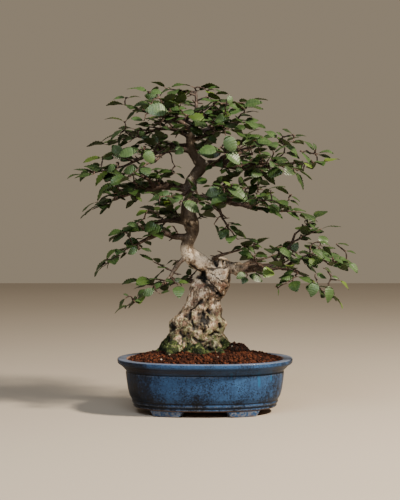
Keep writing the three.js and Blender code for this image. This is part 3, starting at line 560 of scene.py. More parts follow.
# Directions of a seen blade: along it, across it, and out of its face, which turns from upright to the
# viewer as the openness goes from 0 to 1
def seenFrame(along, openness):
    upright = unit(np.cross(along, [0, 1, 0]))
    upright = upright * (1 if upright[2] > 0 else -1)
    face = unit(upright * math.sqrt(1 - min(1, openness**2)) + np.array([0, -openness, 0.05]))
    face = unit(face - along * (face @ along))
    return along, np.cross(face, along), face


# Nodes of the twig from wood to a leaf: a straight line that bows upward and wanders between its ends
def seenTwig(start, end, i):
    reach = np.linalg.norm(end - start)
    count = max(2, math.ceil(reach / seenLook["node"]))
    share = np.linspace(0, 1, count + 1)[:, None]
    nodes = start + (end - start) * share
    nodes[:, 2] += seenLook["sag"] * reach * np.sin(math.pi * share[:, 0])
    wander = np.array([[draw(i + 3.1 * k + axis) - 0.5 for axis in range(3)] for k in range(count + 1)])
    wander[[0, -1]] = 0
    return nodes + 2 * seenLook["wander"] * wander


# Lays the seen leaves: each in turn, the nearest first, is joined to the closest wood or twig so far, and
# an open one moves in front of what would cover it
def laySeenLeaves():
    look = seenLook
    starts = [limbCurve(wood[name], 40)[8:, :3] for name in limbNames if name != "inner"]
    starts = np.vstack(starts + [spray["nodes"] for spray in laidTwigs])
    rows = np.array([row for rows in seenLeaves.values() for row in rows])
    bases, tips = fromPhoto(rows[:, :2], 0.0), fromPhoto(rows[:, 2:4], 0.0)
    waiting = list(range(len(rows)))
    toStart = np.full((len(rows), 2), 1e9)

    # Offers points to the leaves that wait: what counts is the distance in the picture's plane, and for
    # points far back some of their depth
    def consider(points, first):
        for i in waiting:
            apart = np.hypot(*(points[:, [0, 2]] - bases[i][[0, 2]]).T)
            cost = apart + look["behind"] * np.maximum(0, points[:, 1] + 12)
            best = cost.argmin()
            if cost[best] < toStart[i, 0]:
                toStart[i] = cost[best], first + best

    consider(starts, 0)
    while waiting:
        i = min(waiting, key=lambda index: toStart[index, 0])
        waiting.remove(i)
        start = starts[int(toStart[i, 1])]
        openness = rows[i, 4]
        isOpen = openness >= look["frontFrom"]
        depth = min(start[1], 20) - 5 * draw(2.9 * i)
        if isOpen:
            middle = (bases[i] + tips[i]) / 2
            beads = layout.beads[: layout.count].reshape(-1, 3)
            near = 0.42 * np.linalg.norm(tips[i] - bases[i])
            over = np.hypot(*(beads[:, [0, 2]] - middle[[0, 2]]).T) < near
            depth = max(look["frontmost"], min(depth, beads[over, 1].min(initial=depth) - 3))
        base = fromPhoto(rows[i: i + 1, :2], depth)[0]
        tip = fromPhoto(rows[i: i + 1, 2:4], depth)[0]
        index = len(laidTwigs)
        along = tip - base
        length = np.linalg.norm(along)
        along = unit(along + [0, length * 0.5 * (draw(4.3 * i) - 0.5), 0])
        blade = seenFrame(along, openness)
        for step in look["depths"]:
            moved = base + [0, step, 0]
            if layout.clear(index, moved, blade, length):
                break
        beads = bladeBeads(moved, *blade, length)
        margin = look["boxMargin"]
        moved = moved - np.maximum(0, beads.max(0) + margin - boxHigh)
        moved = moved + np.maximum(0, boxLow + margin - beads.min(0))
        layout.add(index, moved, blade, length)
        # The more openly a seen leaf faces the viewer, the more painted sheen it is given
        layout.sky[layout.count - 1] = look["sheen"] * rise(openness, 0.35, 0.9)
        if isOpen:
            layout.shown = np.vstack([layout.shown, [*(moved + along * length * 0.55), 0.3 * length]])
        if np.linalg.norm(moved - start) < 1:
            continue
        nodes = seenTwig(start, moved, i)
        laidTwigs.append({"nodes": nodes, "key": 5.3 * i, "index": index, "thickness": look["thickness"]})
        consider(nodes[1:], len(starts))
        starts = np.vstack([starts, nodes[1:]])


# Short twigs that fill the crown all round: along each limb from a third of its length outwards
fill = {
    "every": 11.0, "sparse": ("low", "middle_left_low", "middle_left_back", "middle_right_low"), "thinned": 2.4,
    "from": 0.3, "leaves": 4, "internode": 6.4, "length": 19.5, "turn": 25, "turnSpread": 70, "lift": -22,
    "liftSpread": 70,
}


# Lays the fill: to either side of each limb in turn, a twig every so many millimetres, fewer down low
def layFill():
    first = len(laidTwigs)
    for row, limb in enumerate(limbNames, firstLimb):
        if limb == "inner":
            continue
        curve = limbCurve(wood[limb], 40)[:, :3]
        heading = math.degrees(math.atan2(*(curve[-1] - curve[0])[[1, 0]]))
        thinned = fill["thinned"] if limb.startswith(fill["sparse"]) else 1
        count = max(1, round(stepLengths(curve).sum() / fill["every"] / thinned))
        for i in range(count):
            key = 31.7 * row + 7.9 * i
            share = fill["from"] + (1 - fill["from"]) * (i + draw(key)) / count
            turn = heading + (1 if i % 2 else -1) * (fill["turn"] + fill["turnSpread"] * draw(key + 1.9))
            lift = fill["liftSpread"] * draw(key + 2.3) + fill["lift"]
            growTwig(curve[int(share * 40)], turn, lift, fill["leaves"], key, fill["internode"], mustStay=False)
    for spray in laidTwigs[first:]:
        layLeaves(spray, fill["length"], filling=True)


laySeenLeaves()
layFill()
print("with the seen and filling leaves there are", layout.count)


# A number on a corner of a whole-number lattice, between 0 and 1, by mixing the corner's three indices
def cornerValue(x, y, z, seed):
    mixed = (x * 374761393 + y * 668265263 + z * 1442695041 + seed * 1274126177) & 0xFFFFFFFF
    mixed = ((mixed ^ (mixed >> 13)) * 1274126177) & 0xFFFFFFFF
    return ((mixed ^ (mixed >> 16)) & 0xFFFFFF) / 0xFFFFFF


# Smooth noise between -1 and 1: corner values blended along each axis with an s-curve
def noise(points, size, seed=0):
    place = points / size + 4096.0
    corner = np.floor(place).astype(np.int64)
    t = place - corner
    t = t * t * (3 - 2 * t)
    x, y, z = corner.T
    total = 0
    for i, j, k in np.ndindex(2, 2, 2):
        weight = np.abs(1 - i - t[:, 0]) * np.abs(1 - j - t[:, 1]) * np.abs(1 - k - t[:, 2])
        total = total + weight * cornerValue(x + i, y + j, z + k, seed)
    return 2 * total - 1


# Noise of several sizes added up, each half as large and half as strong as the one before
def layeredNoise(points, size, layers, seed=0):
    total = sum(noise(points, size / 2**k, seed + k) / 2**k for k in range(layers))
    return total / (2 - 2 / 2**layers)


# Distance to the nearest of the points scattered one to a cell, over the cell's size
def cellDistance(points, size, seed=0):
    place = points / size + 4096.0
    corner = np.floor(place).astype(np.int64)
    nearest = np.full(len(points), 9.0)
    for step in np.ndindex(3, 3, 3):
        cell = corner + step - 1
        dot = np.stack([cornerValue(*cell.T, seed + 7 * axis) for axis in range(3)], -1)
        nearest = np.minimum(nearest, ((place - (cell + dot)) ** 2).sum(-1))
    return np.sqrt(nearest)


# Quads of a grid of rows by columns, the columns closed into a ring if asked
def gridFaces(rows, columns, ring=False):
    row = np.arange(rows - 1)[:, None] * columns
    column = np.arange(columns if ring else columns - 1)[None, :]
    beside = (column + 1) % columns
    quads = np.stack([row + column, row + beside, row + beside + columns, row + column + columns], -1)
    return quads.reshape(-1, 4)


# A closed body from rings of equal length, as points and faces, with a fan over each end
def loftBody(rings):
    count, sides = rings.shape[:2]
    points = np.vstack([rings.reshape(-1, 3), rings[0].mean(0), rings[-1].mean(0)])
    side = np.arange(sides)
    beside = (side + 1) % sides
    first, last = count * sides, (count - 1) * sides
    bottom = np.stack([np.full(sides, first), beside, side], -1)
    top = np.stack([np.full(sides, first + 1), last + side, last + beside], -1)
    return points, [gridFaces(count, sides, ring=True), bottom, top]


# A tube: at each point of a path a circle stands square to it, its radius times one plus its lumps
def tubeRings(path, radii, sides, lumps=None):
    along = unit(np.gradient(path, axis=0))
    level = np.abs(along).max(0)
    reference = np.eye(3)[level.argmin()]
    across = unit(np.cross(along, reference))
    other = np.cross(along, across)
    angle = np.arange(sides) * fullTurn / sides
    circle = np.cos(angle)[None, :, None] * across[:, None] + np.sin(angle)[None, :, None] * other[:, None]
    size = radii[:, None] * (1 if lumps is None else 1 + lumps)
    return path[:, None] + circle * size[..., None]


# Several bodies as one list of points and faces
def gather(bodies):
    points, faces, start = [], [], 0
    for body, sets in bodies:
        points.append(body)
        faces += [part + start for part in sets]
        start += len(body)
    return np.vstack(points), faces


# A mesh in metres from points in millimetres about the pot's middle
def makeMesh(name, points, faceSets):
    mesh = bpy.data.meshes.new(name)
    corners = np.concatenate([faces.ravel() for faces in faceSets])
    sizes = np.concatenate([np.full(len(faces), faces.shape[1]) for faces in faceSets])
    mesh.vertices.add(len(points))
    mesh.vertices.foreach_set("co", (points * 0.001 + potMiddle).astype(np.float32).ravel())
    mesh.loops.add(len(corners))
    mesh.loops.foreach_set("vertex_index", corners.astype(np.int32))
    mesh.polygons.add(len(sizes))
    mesh.polygons.foreach_set("loop_start", (np.cumsum(sizes) - sizes).astype(np.int32))
    mesh.update(calc_edges=True)
    mesh.shade_smooth()
    return mesh


# A named number for each point or face of a mesh, which its material reads
def addAttribute(mesh, name, values, domain="POINT"):
    mesh.attributes.new(name, "FLOAT", domain).data.foreach_set("value", values.astype(np.float32))


# What the bark's material reads: the dark of pits and cracks, partly painted shade, moss, and young wood
def addMarks(mesh, hollow, moss, young):
    for name, values in (("hollow", hollow), ("moss", moss), ("young", young)):
        addAttribute(mesh, name, np.broadcast_to(values, len(mesh.vertices)))


# A map with one place for each point
def addUv(mesh, pointUv):
    corners = np.zeros(len(mesh.loops), np.int32)
    mesh.loops.foreach_get("vertex_index", corners)
    mesh.uv_layers.new(name="surface").uv.foreach_set("vector", pointUv[corners].astype(np.float32).ravel())


# An object that is in the scene and shows the data given
def addObject(name, data):
    made = bpy.data.objects.new(name, data)
    bpy.context.scene.collection.objects.link(made)
    return made


# Puts a finished mesh in the scene as a piece of the object
def addPiece(mesh, material, slot, *replaced):
    piece = addObject(mesh.name, mesh)
    mesh.materials.append(material)
    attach(piece, "root")
    if replaced:
        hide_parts(*replaced)
    return piece


# Three numbers of each item in a part of a mesh, as rows
def readRows(items, name):
    values = np.zeros(len(items) * 3, np.float32)
    items.foreach_get(name, values)
    return values.reshape(-1, 3).astype(float)


# The points of a mesh in millimetres about the pot's middle, and its outward directions
def meshPoints(mesh):
    points = (readRows(mesh.vertices, "co") - potMiddle) * 1000
    return points, readRows(mesh.vertex_normals, "vector")


# Puts the points of a mesh at places in millimetres about the pot's middle
def moveMeshTo(mesh, points):
    mesh.vertices.foreach_set("co", (points * 0.001 + potMiddle).astype(np.float32).ravel())
    mesh.update()


# A mesh after the modifiers that are given as (type, settings); the mesh itself goes
def afterModifiers(mesh, *modifiers):
    piece = addObject("working", mesh)
    for kind, settings in modifiers:
        modifier = piece.modifiers.new(kind, kind)
        for key, value in settings.items():
            setattr(modifier, key, value)
    graph = bpy.context.evaluated_depsgraph_get()
    made = bpy.data.meshes.new_from_object(piece.evaluated_get(graph))
    name = mesh.name
    bpy.data.objects.remove(piece)
    bpy.data.meshes.remove(mesh)
    made.name = name
    return made


# An operator that adds a Math node, with the socket first or second
def mathOperator(operation, socketFirst=True):
    def operate(self, other):
        return self.paint.calc(operation, *((self, other) if socketFirst else (other, self)))
    return operate


# A socket's value in a material: + - and * on it add Math nodes
class Shade:
    __add__, __radd__ = mathOperator("ADD"), mathOperator("ADD", False)
    __sub__, __rsub__ = mathOperator("SUBTRACT"), mathOperator("SUBTRACT", False)
    __mul__, __rmul__ = mathOperator("MULTIPLY"), mathOperator("MULTIPLY", False)

    def __init__(self, paint, socket):
        self.paint, self.socket = paint, socket

    # 0 below low, 1 above high, an s-curve between; the other way round if low is the larger
    def rise(self, low, high):
        settings = {"interpolation_type": "SMOOTHSTEP"}
        if low < high:
            inputs = {"Value": self, "From Min": low, "From Max": high}
            return self.paint.node("ShaderNodeMapRange", settings, inputs)
        return 1 - self.rise(high, low)

    # 1 within the inner distance of a value, 0 beyond the outer one
    def near(self, value, outer, inner):
        return self.paint.calc("ABSOLUTE", self - value).rise(outer, inner)


# The node tree of one material; sizes are in metres on the object's own coordinates
class Paint:
    def __init__(self, name):
        self.material = bpy.data.materials.new(name)
        self.material.use_nodes = True
        self.tree = self.material.node_tree
        self.tree.nodes.clear()
        self.place = self.node("ShaderNodeTexCoord", out="Object")

    # Adds a node: its settings first, then the value or link of each input; gives back one output
    def node(self, kind, settings=None, inputs=None, out=0):
        made = self.tree.nodes.new(kind)
        for key, value in (settings or {}).items():
            if key == "stops":
                ramp = made.color_ramp
                while len(ramp.elements) < len(value):
                    ramp.elements.new(1.0)
                for element, (position, color) in zip(ramp.elements, value):
                    element.position = position
                    element.color = (*color, 1)
            else:
                setattr(made, key, value)
        for key, value in (inputs or {}).items():
            socket = self.find(made.inputs, key)
            if isinstance(value, Shade):
                self.tree.links.new(value.socket, socket)
            elif socket.type == "RGBA" and len(value) == 3:
                socket.default_value = (*value, 1)
            else:
                socket.default_value = value
        return Shade(self, self.find(made.outputs, out)) if len(made.outputs) else None

    # One step of arithmetic by name
    def calc(self, operation, *values):
        return self.node("ShaderNodeMath", {"operation": operation}, dict(enumerate(values)))

    # A socket by its name, or by its number among those that are on
    def find(self, sockets, key):
        if isinstance(key, int):
            return [socket for socket in sockets if socket.enabled][key]
        return next(socket for socket in sockets if socket.enabled and socket.name == key)

    # The object's coordinates scaled along each axis, below 1 to draw a pattern out
    def stretched(self, x, y, z):
        return self.node("ShaderNodeVectorMath", {"operation": "MULTIPLY"}, {0: self.place, 1: (x, y, z)})

    # Cloudy values around 0.5 whose largest lumps have the size given
    def noise(self, size, detail=3.0, roughness=0.5, vector=None, distortion=0.0):
        return self.node("ShaderNodeTexNoise", None, {
            "Vector": vector or self.place, "Scale": 1 / size, "Detail": detail, "Roughness": roughness,
            "Distortion": distortion})

    # Distance to the nearest of the points strewn one to a cell, over the cells' size
    def cells(self, size):
        inputs = {"Vector": self.place, "Scale": 1 / size}
        return self.node("ShaderNodeTexVoronoi", None, inputs, out="Distance")

    def attribute(self, name):
        return self.node("ShaderNodeAttribute", {"attribute_name": name}, out="Fac")

    def axis(self, name, vector=None):
        return self.node("ShaderNodeSeparateXYZ", None, {0: vector or self.place}, out=name)

    # Colours between stops, each a value and the colour there
    def ramp(self, value, *stops):
        return self.node("ShaderNodeValToRGB", {"stops": stops}, {"Fac": value}, out="Color")

    # From the first colour at factor 0 to the second at 1
    def mix(self, factor, first, second):
        settings = {"data_type": "RGBA", "clamp_factor": True}
        return self.node("ShaderNodeMix", settings, {"Factor": factor, "A": first, "B": second}, out="Result")

    # Tilts the surface as if the height, from 0 to 1, raised it by up to the distance in metres
    def bump(self, height, distance, strength=1.0, normal=None):
        inputs = {"Height": height, "Distance": distance, "Strength": strength}
        if normal is not None:
            inputs["Normal"] = normal
        return self.node("ShaderNodeBump", None, inputs, out="Normal")

    def principled(self, **inputs):
        return self.node("ShaderNodeBsdfPrincipled", None, {
            key.replace("_", " ").replace("Ior", "IOR"): value for key, value in inputs.items()})

    def finish(self, shader):
        self.node("ShaderNodeOutputMaterial", None, {"Surface": shader})
        return self.material


# Bark: tan with a pink cast and black pits, paler on the middle trunk, dark brown above, and green with
# algae and moss near the soil. The pieces carry the dark of their hollows, moss and young; the hollows go dark
# and black partly by the bark's own colour and partly as painted shade. Young wood is dark red-brown.
def barkMaterial():
    look = {
        "pale": (0.72, 0.60, 0.46), "cream": (0.29, 0.215, 0.145), "tan": (0.105, 0.068, 0.042),
        "pink": (0.24, 0.130, 0.090), "dark": (0.026, 0.017, 0.011), "black": (0.005, 0.004, 0.003),
        "lichen": (0.36, 0.37, 0.21), "algae": (0.050, 0.060, 0.015), "umber": (0.034, 0.023, 0.015),
        "youngWood": (0.030, 0.017, 0.012), "youngPale": (0.125, 0.080, 0.060),
    }
    paint = Paint("hornbeam_bark")
    hollow, moss, young = (paint.attribute(name) for name in ("hollow", "moss", "young"))
    height = paint.axis("Z")
    broad = paint.noise(0.012, 4, 0.6)
    grain = paint.noise(0.0040, 4, 0.7, paint.stretched(1, 1, 0.5))
    fine = paint.noise(0.0013, 3, 0.65)
    middle = height.rise(0.170, 0.196) * height.rise(0.236, 0.222)
    tone = broad * 0.40 + grain * 0.36 + fine * 0.24 + middle * 0.060
    old = paint.ramp(tone, (0.41, look["dark"]), (0.465, look["tan"]), (0.515, look["cream"]),
                     (0.58, look["pale"]))
    old = paint.mix(paint.noise(0.008, 2).rise(0.48, 0.64) * height.rise(0.23, 0.17) * 0.6, old, look["pink"])
    patches = paint.noise(0.007, 3, 0.6, distortion=0.6).rise(0.50, 0.60)
    old = paint.mix(patches * height.rise(0.165, 0.105) * 0.75, old, look["lichen"])
    green = paint.noise(0.006, 4, 0.65).rise(0.44, 0.56)
    old = paint.mix(green * height.rise(0.140, 0.098) * 0.9, old, look["algae"])
    upper = (height.rise(0.218, 0.232) * 0.88 + height.rise(0.262, 0.290) * 0.12) * broad.rise(0.74, 0.54)
    old = paint.mix(upper * 0.95, old, look["umber"])
    # Painted leaf shadow: umber over the old wood right of the knob and above it, where the low right limb
    # leaves the trunk
    outer = paint.axis("X").rise(0.012, 0.036) * height.rise(0.180, 0.192) * broad.rise(0.66, 0.46)
    old = paint.mix(outer * 0.75, old, look["umber"])
    specks = paint.cells(0.0024).rise(0.38, 0.18) * paint.noise(0.006, 2).rise(0.43, 0.54)
    old = paint.mix(specks * height.rise(0.24, 0.18) * 0.92, old, look["dark"])
    youngColor = paint.mix(paint.noise(0.0030, 3, 0.6).rise(0.54, 0.68), look["youngWood"], look["youngPale"])
    color = paint.mix(young, old, youngColor)
    # The hollows' dark and black: the bark's own dark in its pits, with painted shade in pits, cracks and
    # clefts
    color = paint.mix(hollow.rise(0.10, 0.45) * 0.9, color, look["dark"])
    color = paint.mix(hollow.rise(0.45, 0.85), color, look["black"])
    tufts = paint.noise(0.0030, 4, 0.7) * 0.55 + paint.noise(0.009, 2) * 0.45
    mossColor = paint.ramp(tufts, (0.42, (0.002, 0.004, 0.001)), (0.50, (0.009, 0.015, 0.0025)),
                           (0.565, (0.036, 0.052, 0.008)), (0.66, (0.22, 0.24, 0.10)))
    mossColor = paint.mix(paint.cells(0.0060).rise(0.16, 0.08), mossColor, (0.17, 0.032, 0.014))
    color = paint.mix(moss, color, mossColor)
    relief = paint.bump(grain * 0.6 + fine * 0.4, 0.0016, 0.9)
    relief = paint.bump(paint.noise(0.0006, 2), 0.0005, 0.4, relief)
    return paint.finish(paint.principled(
        Base_Color=color, Roughness=0.58 + 0.35 * moss, Specular_IOR_Level=0.30, Normal=relief))


# Leaf: satin dark green with paler veins, a paler dull underside, light that comes through, and on open leaves
# a painted pale blue-green sheen.
# Its map runs from base to tip, and from edge to edge across; tone differs from leaf to leaf.
def leafMaterial():
    look = {
        "deep": (0.007, 0.018, 0.005), "green": (0.022, 0.052, 0.010), "fresh": (0.095, 0.150, 0.018),
        "vein": (0.062, 0.098, 0.034), "underside": (0.042, 0.062, 0.024), "stalk": (0.085, 0.038, 0.022),
        "through": (0.17, 0.24, 0.014), "sky": (0.066, 0.122, 0.042), "veinPairs": leafShape["rows"] / 2,
    }
    paint = Paint("hornbeam_leaf")
    surface = paint.node("ShaderNodeUVMap", {"uv_map": "surface"})
    along, across = paint.axis("X", surface), paint.axis("Y", surface)
    side = paint.calc("ABSOLUTE", across - 0.5) * 2
    tone, sky, underside, stalk = (paint.attribute(name) for name in ("tone", "sky", "underside", "stalk"))
    fromVein = paint.calc("ABSOLUTE", paint.calc("FRACT", along * look["veinPairs"]) - 0.5) * 2
    lateral = fromVein.rise(0.80, 0.97) * side.rise(0.99, 0.80)
    midrib = side.rise(0.10, 0.03)
    veins = paint.calc("MAXIMUM", lateral * 0.7, midrib)
    mottle = paint.noise(0.006, 3)
    color = paint.mix(tone.rise(0.0, 0.8), look["deep"], look["green"])
    color = paint.mix(tone.rise(0.86, 1.0), color, look["fresh"])
    color = paint.mix(mottle.rise(0.45, 0.75) * 0.25, color, look["fresh"])
    # Painted sheen: leaves that face the viewer, and a few others, are paled towards blue-green as if they
    # mirrored a bright sky
    color = paint.mix(sky * (0.65 + 0.35 * mottle.rise(0.35, 0.6)), color, look["sky"])
    color = paint.mix(veins * 0.5, color, look["vein"])
    color = paint.mix(underside * 0.85, color, look["underside"])
    color = paint.mix(stalk, color, look["stalk"])
    relief = paint.bump(fromVein.rise(1.0, 0.35) - midrib * 0.8, 0.0005, 0.28)
    relief = paint.bump(paint.cells(0.0011), 0.00012, 0.4, relief)
    satin = paint.principled(
        Base_Color=color, Roughness=0.36 + 0.30 * underside + 0.14 * mottle, Specular_IOR_Level=0.50,
        Normal=relief)
    through = paint.node("ShaderNodeBsdfTranslucent", None, {"Color": look["through"]})
    return paint.finish(paint.node("ShaderNodeMixShader", None, {"Fac": 0.28, 1: satin, 2: through}))


# Glaze: clouded blue with dark specks and a few bright runs, dark in the grooves, dark brown under the rim
# partly where it is thin and partly as painted shade and reflection, grey-brown on the feet, and bare clay
# underneath and inside;
# painted shade darkens it towards both ends and painted light brightens it towards the top
def glazeMaterial():
    look = {
        "night": (0.002, 0.003, 0.006), "deep": (0.0055, 0.013, 0.031), "blue": (0.017, 0.045, 0.110),
        "bright": (0.028, 0.080, 0.190), "rim": (0.080, 0.100, 0.150), "rimBrownAndShade": (0.012, 0.007, 0.005),
        "speck": (0.003, 0.003, 0.004), "clay": (0.14, 0.080, 0.055), "rust": (0.055, 0.030, 0.018),
        "ash": (0.110, 0.120, 0.145), "run": (0.010, 0.085, 0.200),
    }
    runs = [(0.0596, 0.0415, 0.0026), (0.0235, 0.0540, 0.0022), (0.0760, 0.0480, 0.0018)]
    paint = Paint("blue_glaze")
    x, y, height = (paint.axis(name) for name in "XYZ")
    cloud = paint.noise(0.040, 4, 0.62, paint.stretched(1, 1, 0.8))
    streak = paint.noise(0.007, 3, 0.5, paint.stretched(1, 1, 0.14))
    mottle = paint.noise(0.0030, 4, 0.7)
    # Painted light and shade in the tone: darker towards the left end and towards the right end, lighter
    # towards the top
    tone = cloud * 0.42 + streak * 0.16 + mottle * 0.42 + x.rise(-0.118, -0.048) * 0.15 - 0.145
    tone = tone + height.rise(0.010, 0.058) * 0.085 - 0.035 + x.rise(0.100, 0.045) * 0.080 - 0.047
    color = paint.ramp(tone, (0.36, look["night"]), (0.46, look["deep"]), (0.53, look["blue"]),
                       (0.68, look["bright"]))
    specks = paint.cells(0.0019).rise(0.46, 0.24) * paint.noise(0.012, 3).rise(0.38, 0.54)
    color = paint.mix(specks * 0.85, color, look["speck"])
    front = y.rise(0.0, -0.01)
    for place, end, width in runs:
        waver = (paint.noise(0.012, 1) - 0.5) * 0.003
        beside = paint.calc("ABSOLUTE", x - place + waver).rise(width, width * 0.3)
        color = paint.mix(beside * height.rise(end - 0.003, end + 0.003)
                          * height.rise(0.0640, 0.0600) * front * 0.7, color, look["run"])
    # Dark brown under the rim, stronger to the left: partly thin glaze, partly painted shade and reflection
    # under the rim
    under = height.rise(0.0675, 0.0655) * height.rise(0.0560, 0.0610) * (0.25 + 0.5 * x.rise(0.045, -0.04))
    color = paint.mix(under, color, look["rimBrownAndShade"])
    for groove in (0.0571, 0.0184, 0.0122):
        color = paint.mix(height.near(groove, 0.0015, 0.0003) * 0.85, color, look["speck"])
    for edge in (0.0552, 0.0150, 0.0098):
        worn = height.near(edge, 0.0012, 0.0003) * mottle.rise(0.42, 0.58)
        color = paint.mix(worn * 0.45, color, look["ash"])
    color = paint.mix(height.rise(0.0722, 0.0736) * 0.8, color, look["rim"])
    rimEdge = height.near(0.0733, 0.0008, 0.0002) * mottle.rise(0.44, 0.60)
    color = paint.mix(rimEdge * 0.35, color, look["ash"])
    foot = height.rise(0.0088, 0.0066)
    footColor = paint.mix(mottle.rise(0.43, 0.57), look["blue"], look["ash"])
    rusty = paint.noise(0.006, 3, 0.6).rise(0.54, 0.62) * height.rise(0.006, 0.0)
    footColor = paint.mix(rusty * 0.8, footColor, look["rust"])
    color = paint.mix(foot * 0.85, color, footColor)
    bare = paint.calc("MAXIMUM", paint.attribute("bare").rise(0.82, 1.0), paint.attribute("unglazed"))
    color = paint.mix(bare, color, look["clay"])
    relief = paint.bump(mottle * 0.6 + streak * 0.4, 0.0006, 0.35)
    relief = paint.bump(1 - specks, 0.0003, 0.5, relief)
    return paint.finish(paint.principled(
        Base_Color=color, Roughness=0.32 + 0.20 * mottle + 0.4 * bare, Specular_IOR_Level=0.13,
        Coat_Weight=0.07 - 0.07 * bare, Coat_Roughness=0.10, Normal=relief))


# Soil grains: fired red-brown clay, each with its own tone, and a few pale bits of pumice
def grainMaterial(name, tints):
    paint = Paint(name)
    tone = paint.attribute("tone")
    color = paint.ramp(tone, *tints)
    dust = paint.noise(0.0016, 3, 0.6)
    color = paint.mix(dust.rise(0.52, 0.70) * 0.25, color, (0.085, 0.030, 0.014))
    relief = paint.bump(paint.noise(0.0008, 3, 0.7), 0.0006, 0.9)
    return paint.finish(paint.principled(
        Base_Color=color, Roughness=0.92, Specular_IOR_Level=0.12, Normal=relief))


# Net: dull black plastic with a faint grain
def netMaterial():
    paint = Paint("drain_net")
    grain = paint.noise(0.0012, 3)
    color = paint.mix(grain, (0.012, 0.012, 0.013), (0.035, 0.034, 0.033))
    return paint.finish(paint.principled(Base_Color=color, Roughness=0.55 + 0.2 * grain,
                                         Normal=paint.bump(grain, 0.0002, 0.5)))


# Floor: a pale warm grey, clouded so slightly that it reads as plain
def floorMaterial():
    paint = Paint("studio_floor")
    color = paint.mix(paint.noise(0.6, 2), (0.30, 0.262, 0.220), (0.325, 0.285, 0.240))
    return paint.finish(paint.principled(Base_Color=color, Roughness=0.7, Specular_IOR_Level=0.2))


# Distance in the picture's plane from points to a line of corners
def fromLine(points, corners):
    flat = points[:, [0, 2]]
    nearest = np.full(len(points), 1e9)
    for start, end in zip(corners[:-1], corners[1:]):
        start, step = start[[0, 2]], (end - start)[[0, 2]]
        share = np.clip((flat - start) @ step / (step @ step), 0, 1)[:, None]
        nearest = np.minimum(nearest, np.linalg.norm(flat - start - share * step, axis=1))
    return nearest


# Trunk: the flared foot with its roots, the knob, the leaning upper trunk and a collar for each limb,
# fused by a fine remesh and then given its bark by moving every point along its own direction
trunk = {
    "foot": {"x": -13, "y": 9, "halfWidth": 46, "halfDepth": 34, "bottom": 56, "top": 83},
    "voxel": 0.00095, "smoothing": 5, "sides": 110, "rings": 90, "frontPlane": -17.0,
    "lump": 1.7, "lumpSize": 17, "ridge": 0.8, "ridgeSize": 7, "burl": 1.5, "burlSize": 11.5,
    "pit": 2.0, "pitSize": 7.5, "smallPit": 0.70, "smallPitSize": 3.6, "grain": 0.6, "grainSize": 2.8,
    "mossHeight": 0.8, "mossSize": 8, "youngReach": 30,
}
roots = [
    [[-30, -6, 100, 13], [-38, -18, 92, 10.5], [-45, -29, 86, 7.5], [-50, -38, 79, 4]],
    [[-40, 8, 97, 12], [-50, 8, 90, 9], [-58, 8, 85, 5.5], [-65, 8, 80, 3]],
    [[14, 6, 97, 12], [24, 4, 90, 8.5], [32, 2, 85, 5.5], [40, 0, 79, 3]],
    [[-10, -10, 97, 13], [-9, -20, 90, 10], [-7, -28, 85, 6.5], [-5, -36, 79, 3.5]],
    [[8, -8, 97, 11], [15, -18, 90, 8], [20, -26, 85, 5], [24, -32, 80, 3]],
    [[-4, 24, 97, 12], [0, 36, 90, 9], [4, 45, 85, 5.5], [8, 53, 79, 3]],
    [[-32, 24, 97, 12], [-42, 34, 90, 8.5], [-50, 42, 85, 5], [-57, 48, 79, 3]],
    [[14, 18, 97, 11], [25, 26, 90, 8], [34, 33, 85, 5], [42, 38, 79, 3]],
    [[-4, -37, 82.4, 1.3], [2, -36.5, 84, 1.7], [8, -35, 84.6, 1.8], [15, -31, 84.5, 1.6],
     [20, -27, 83, 1.2]],
]

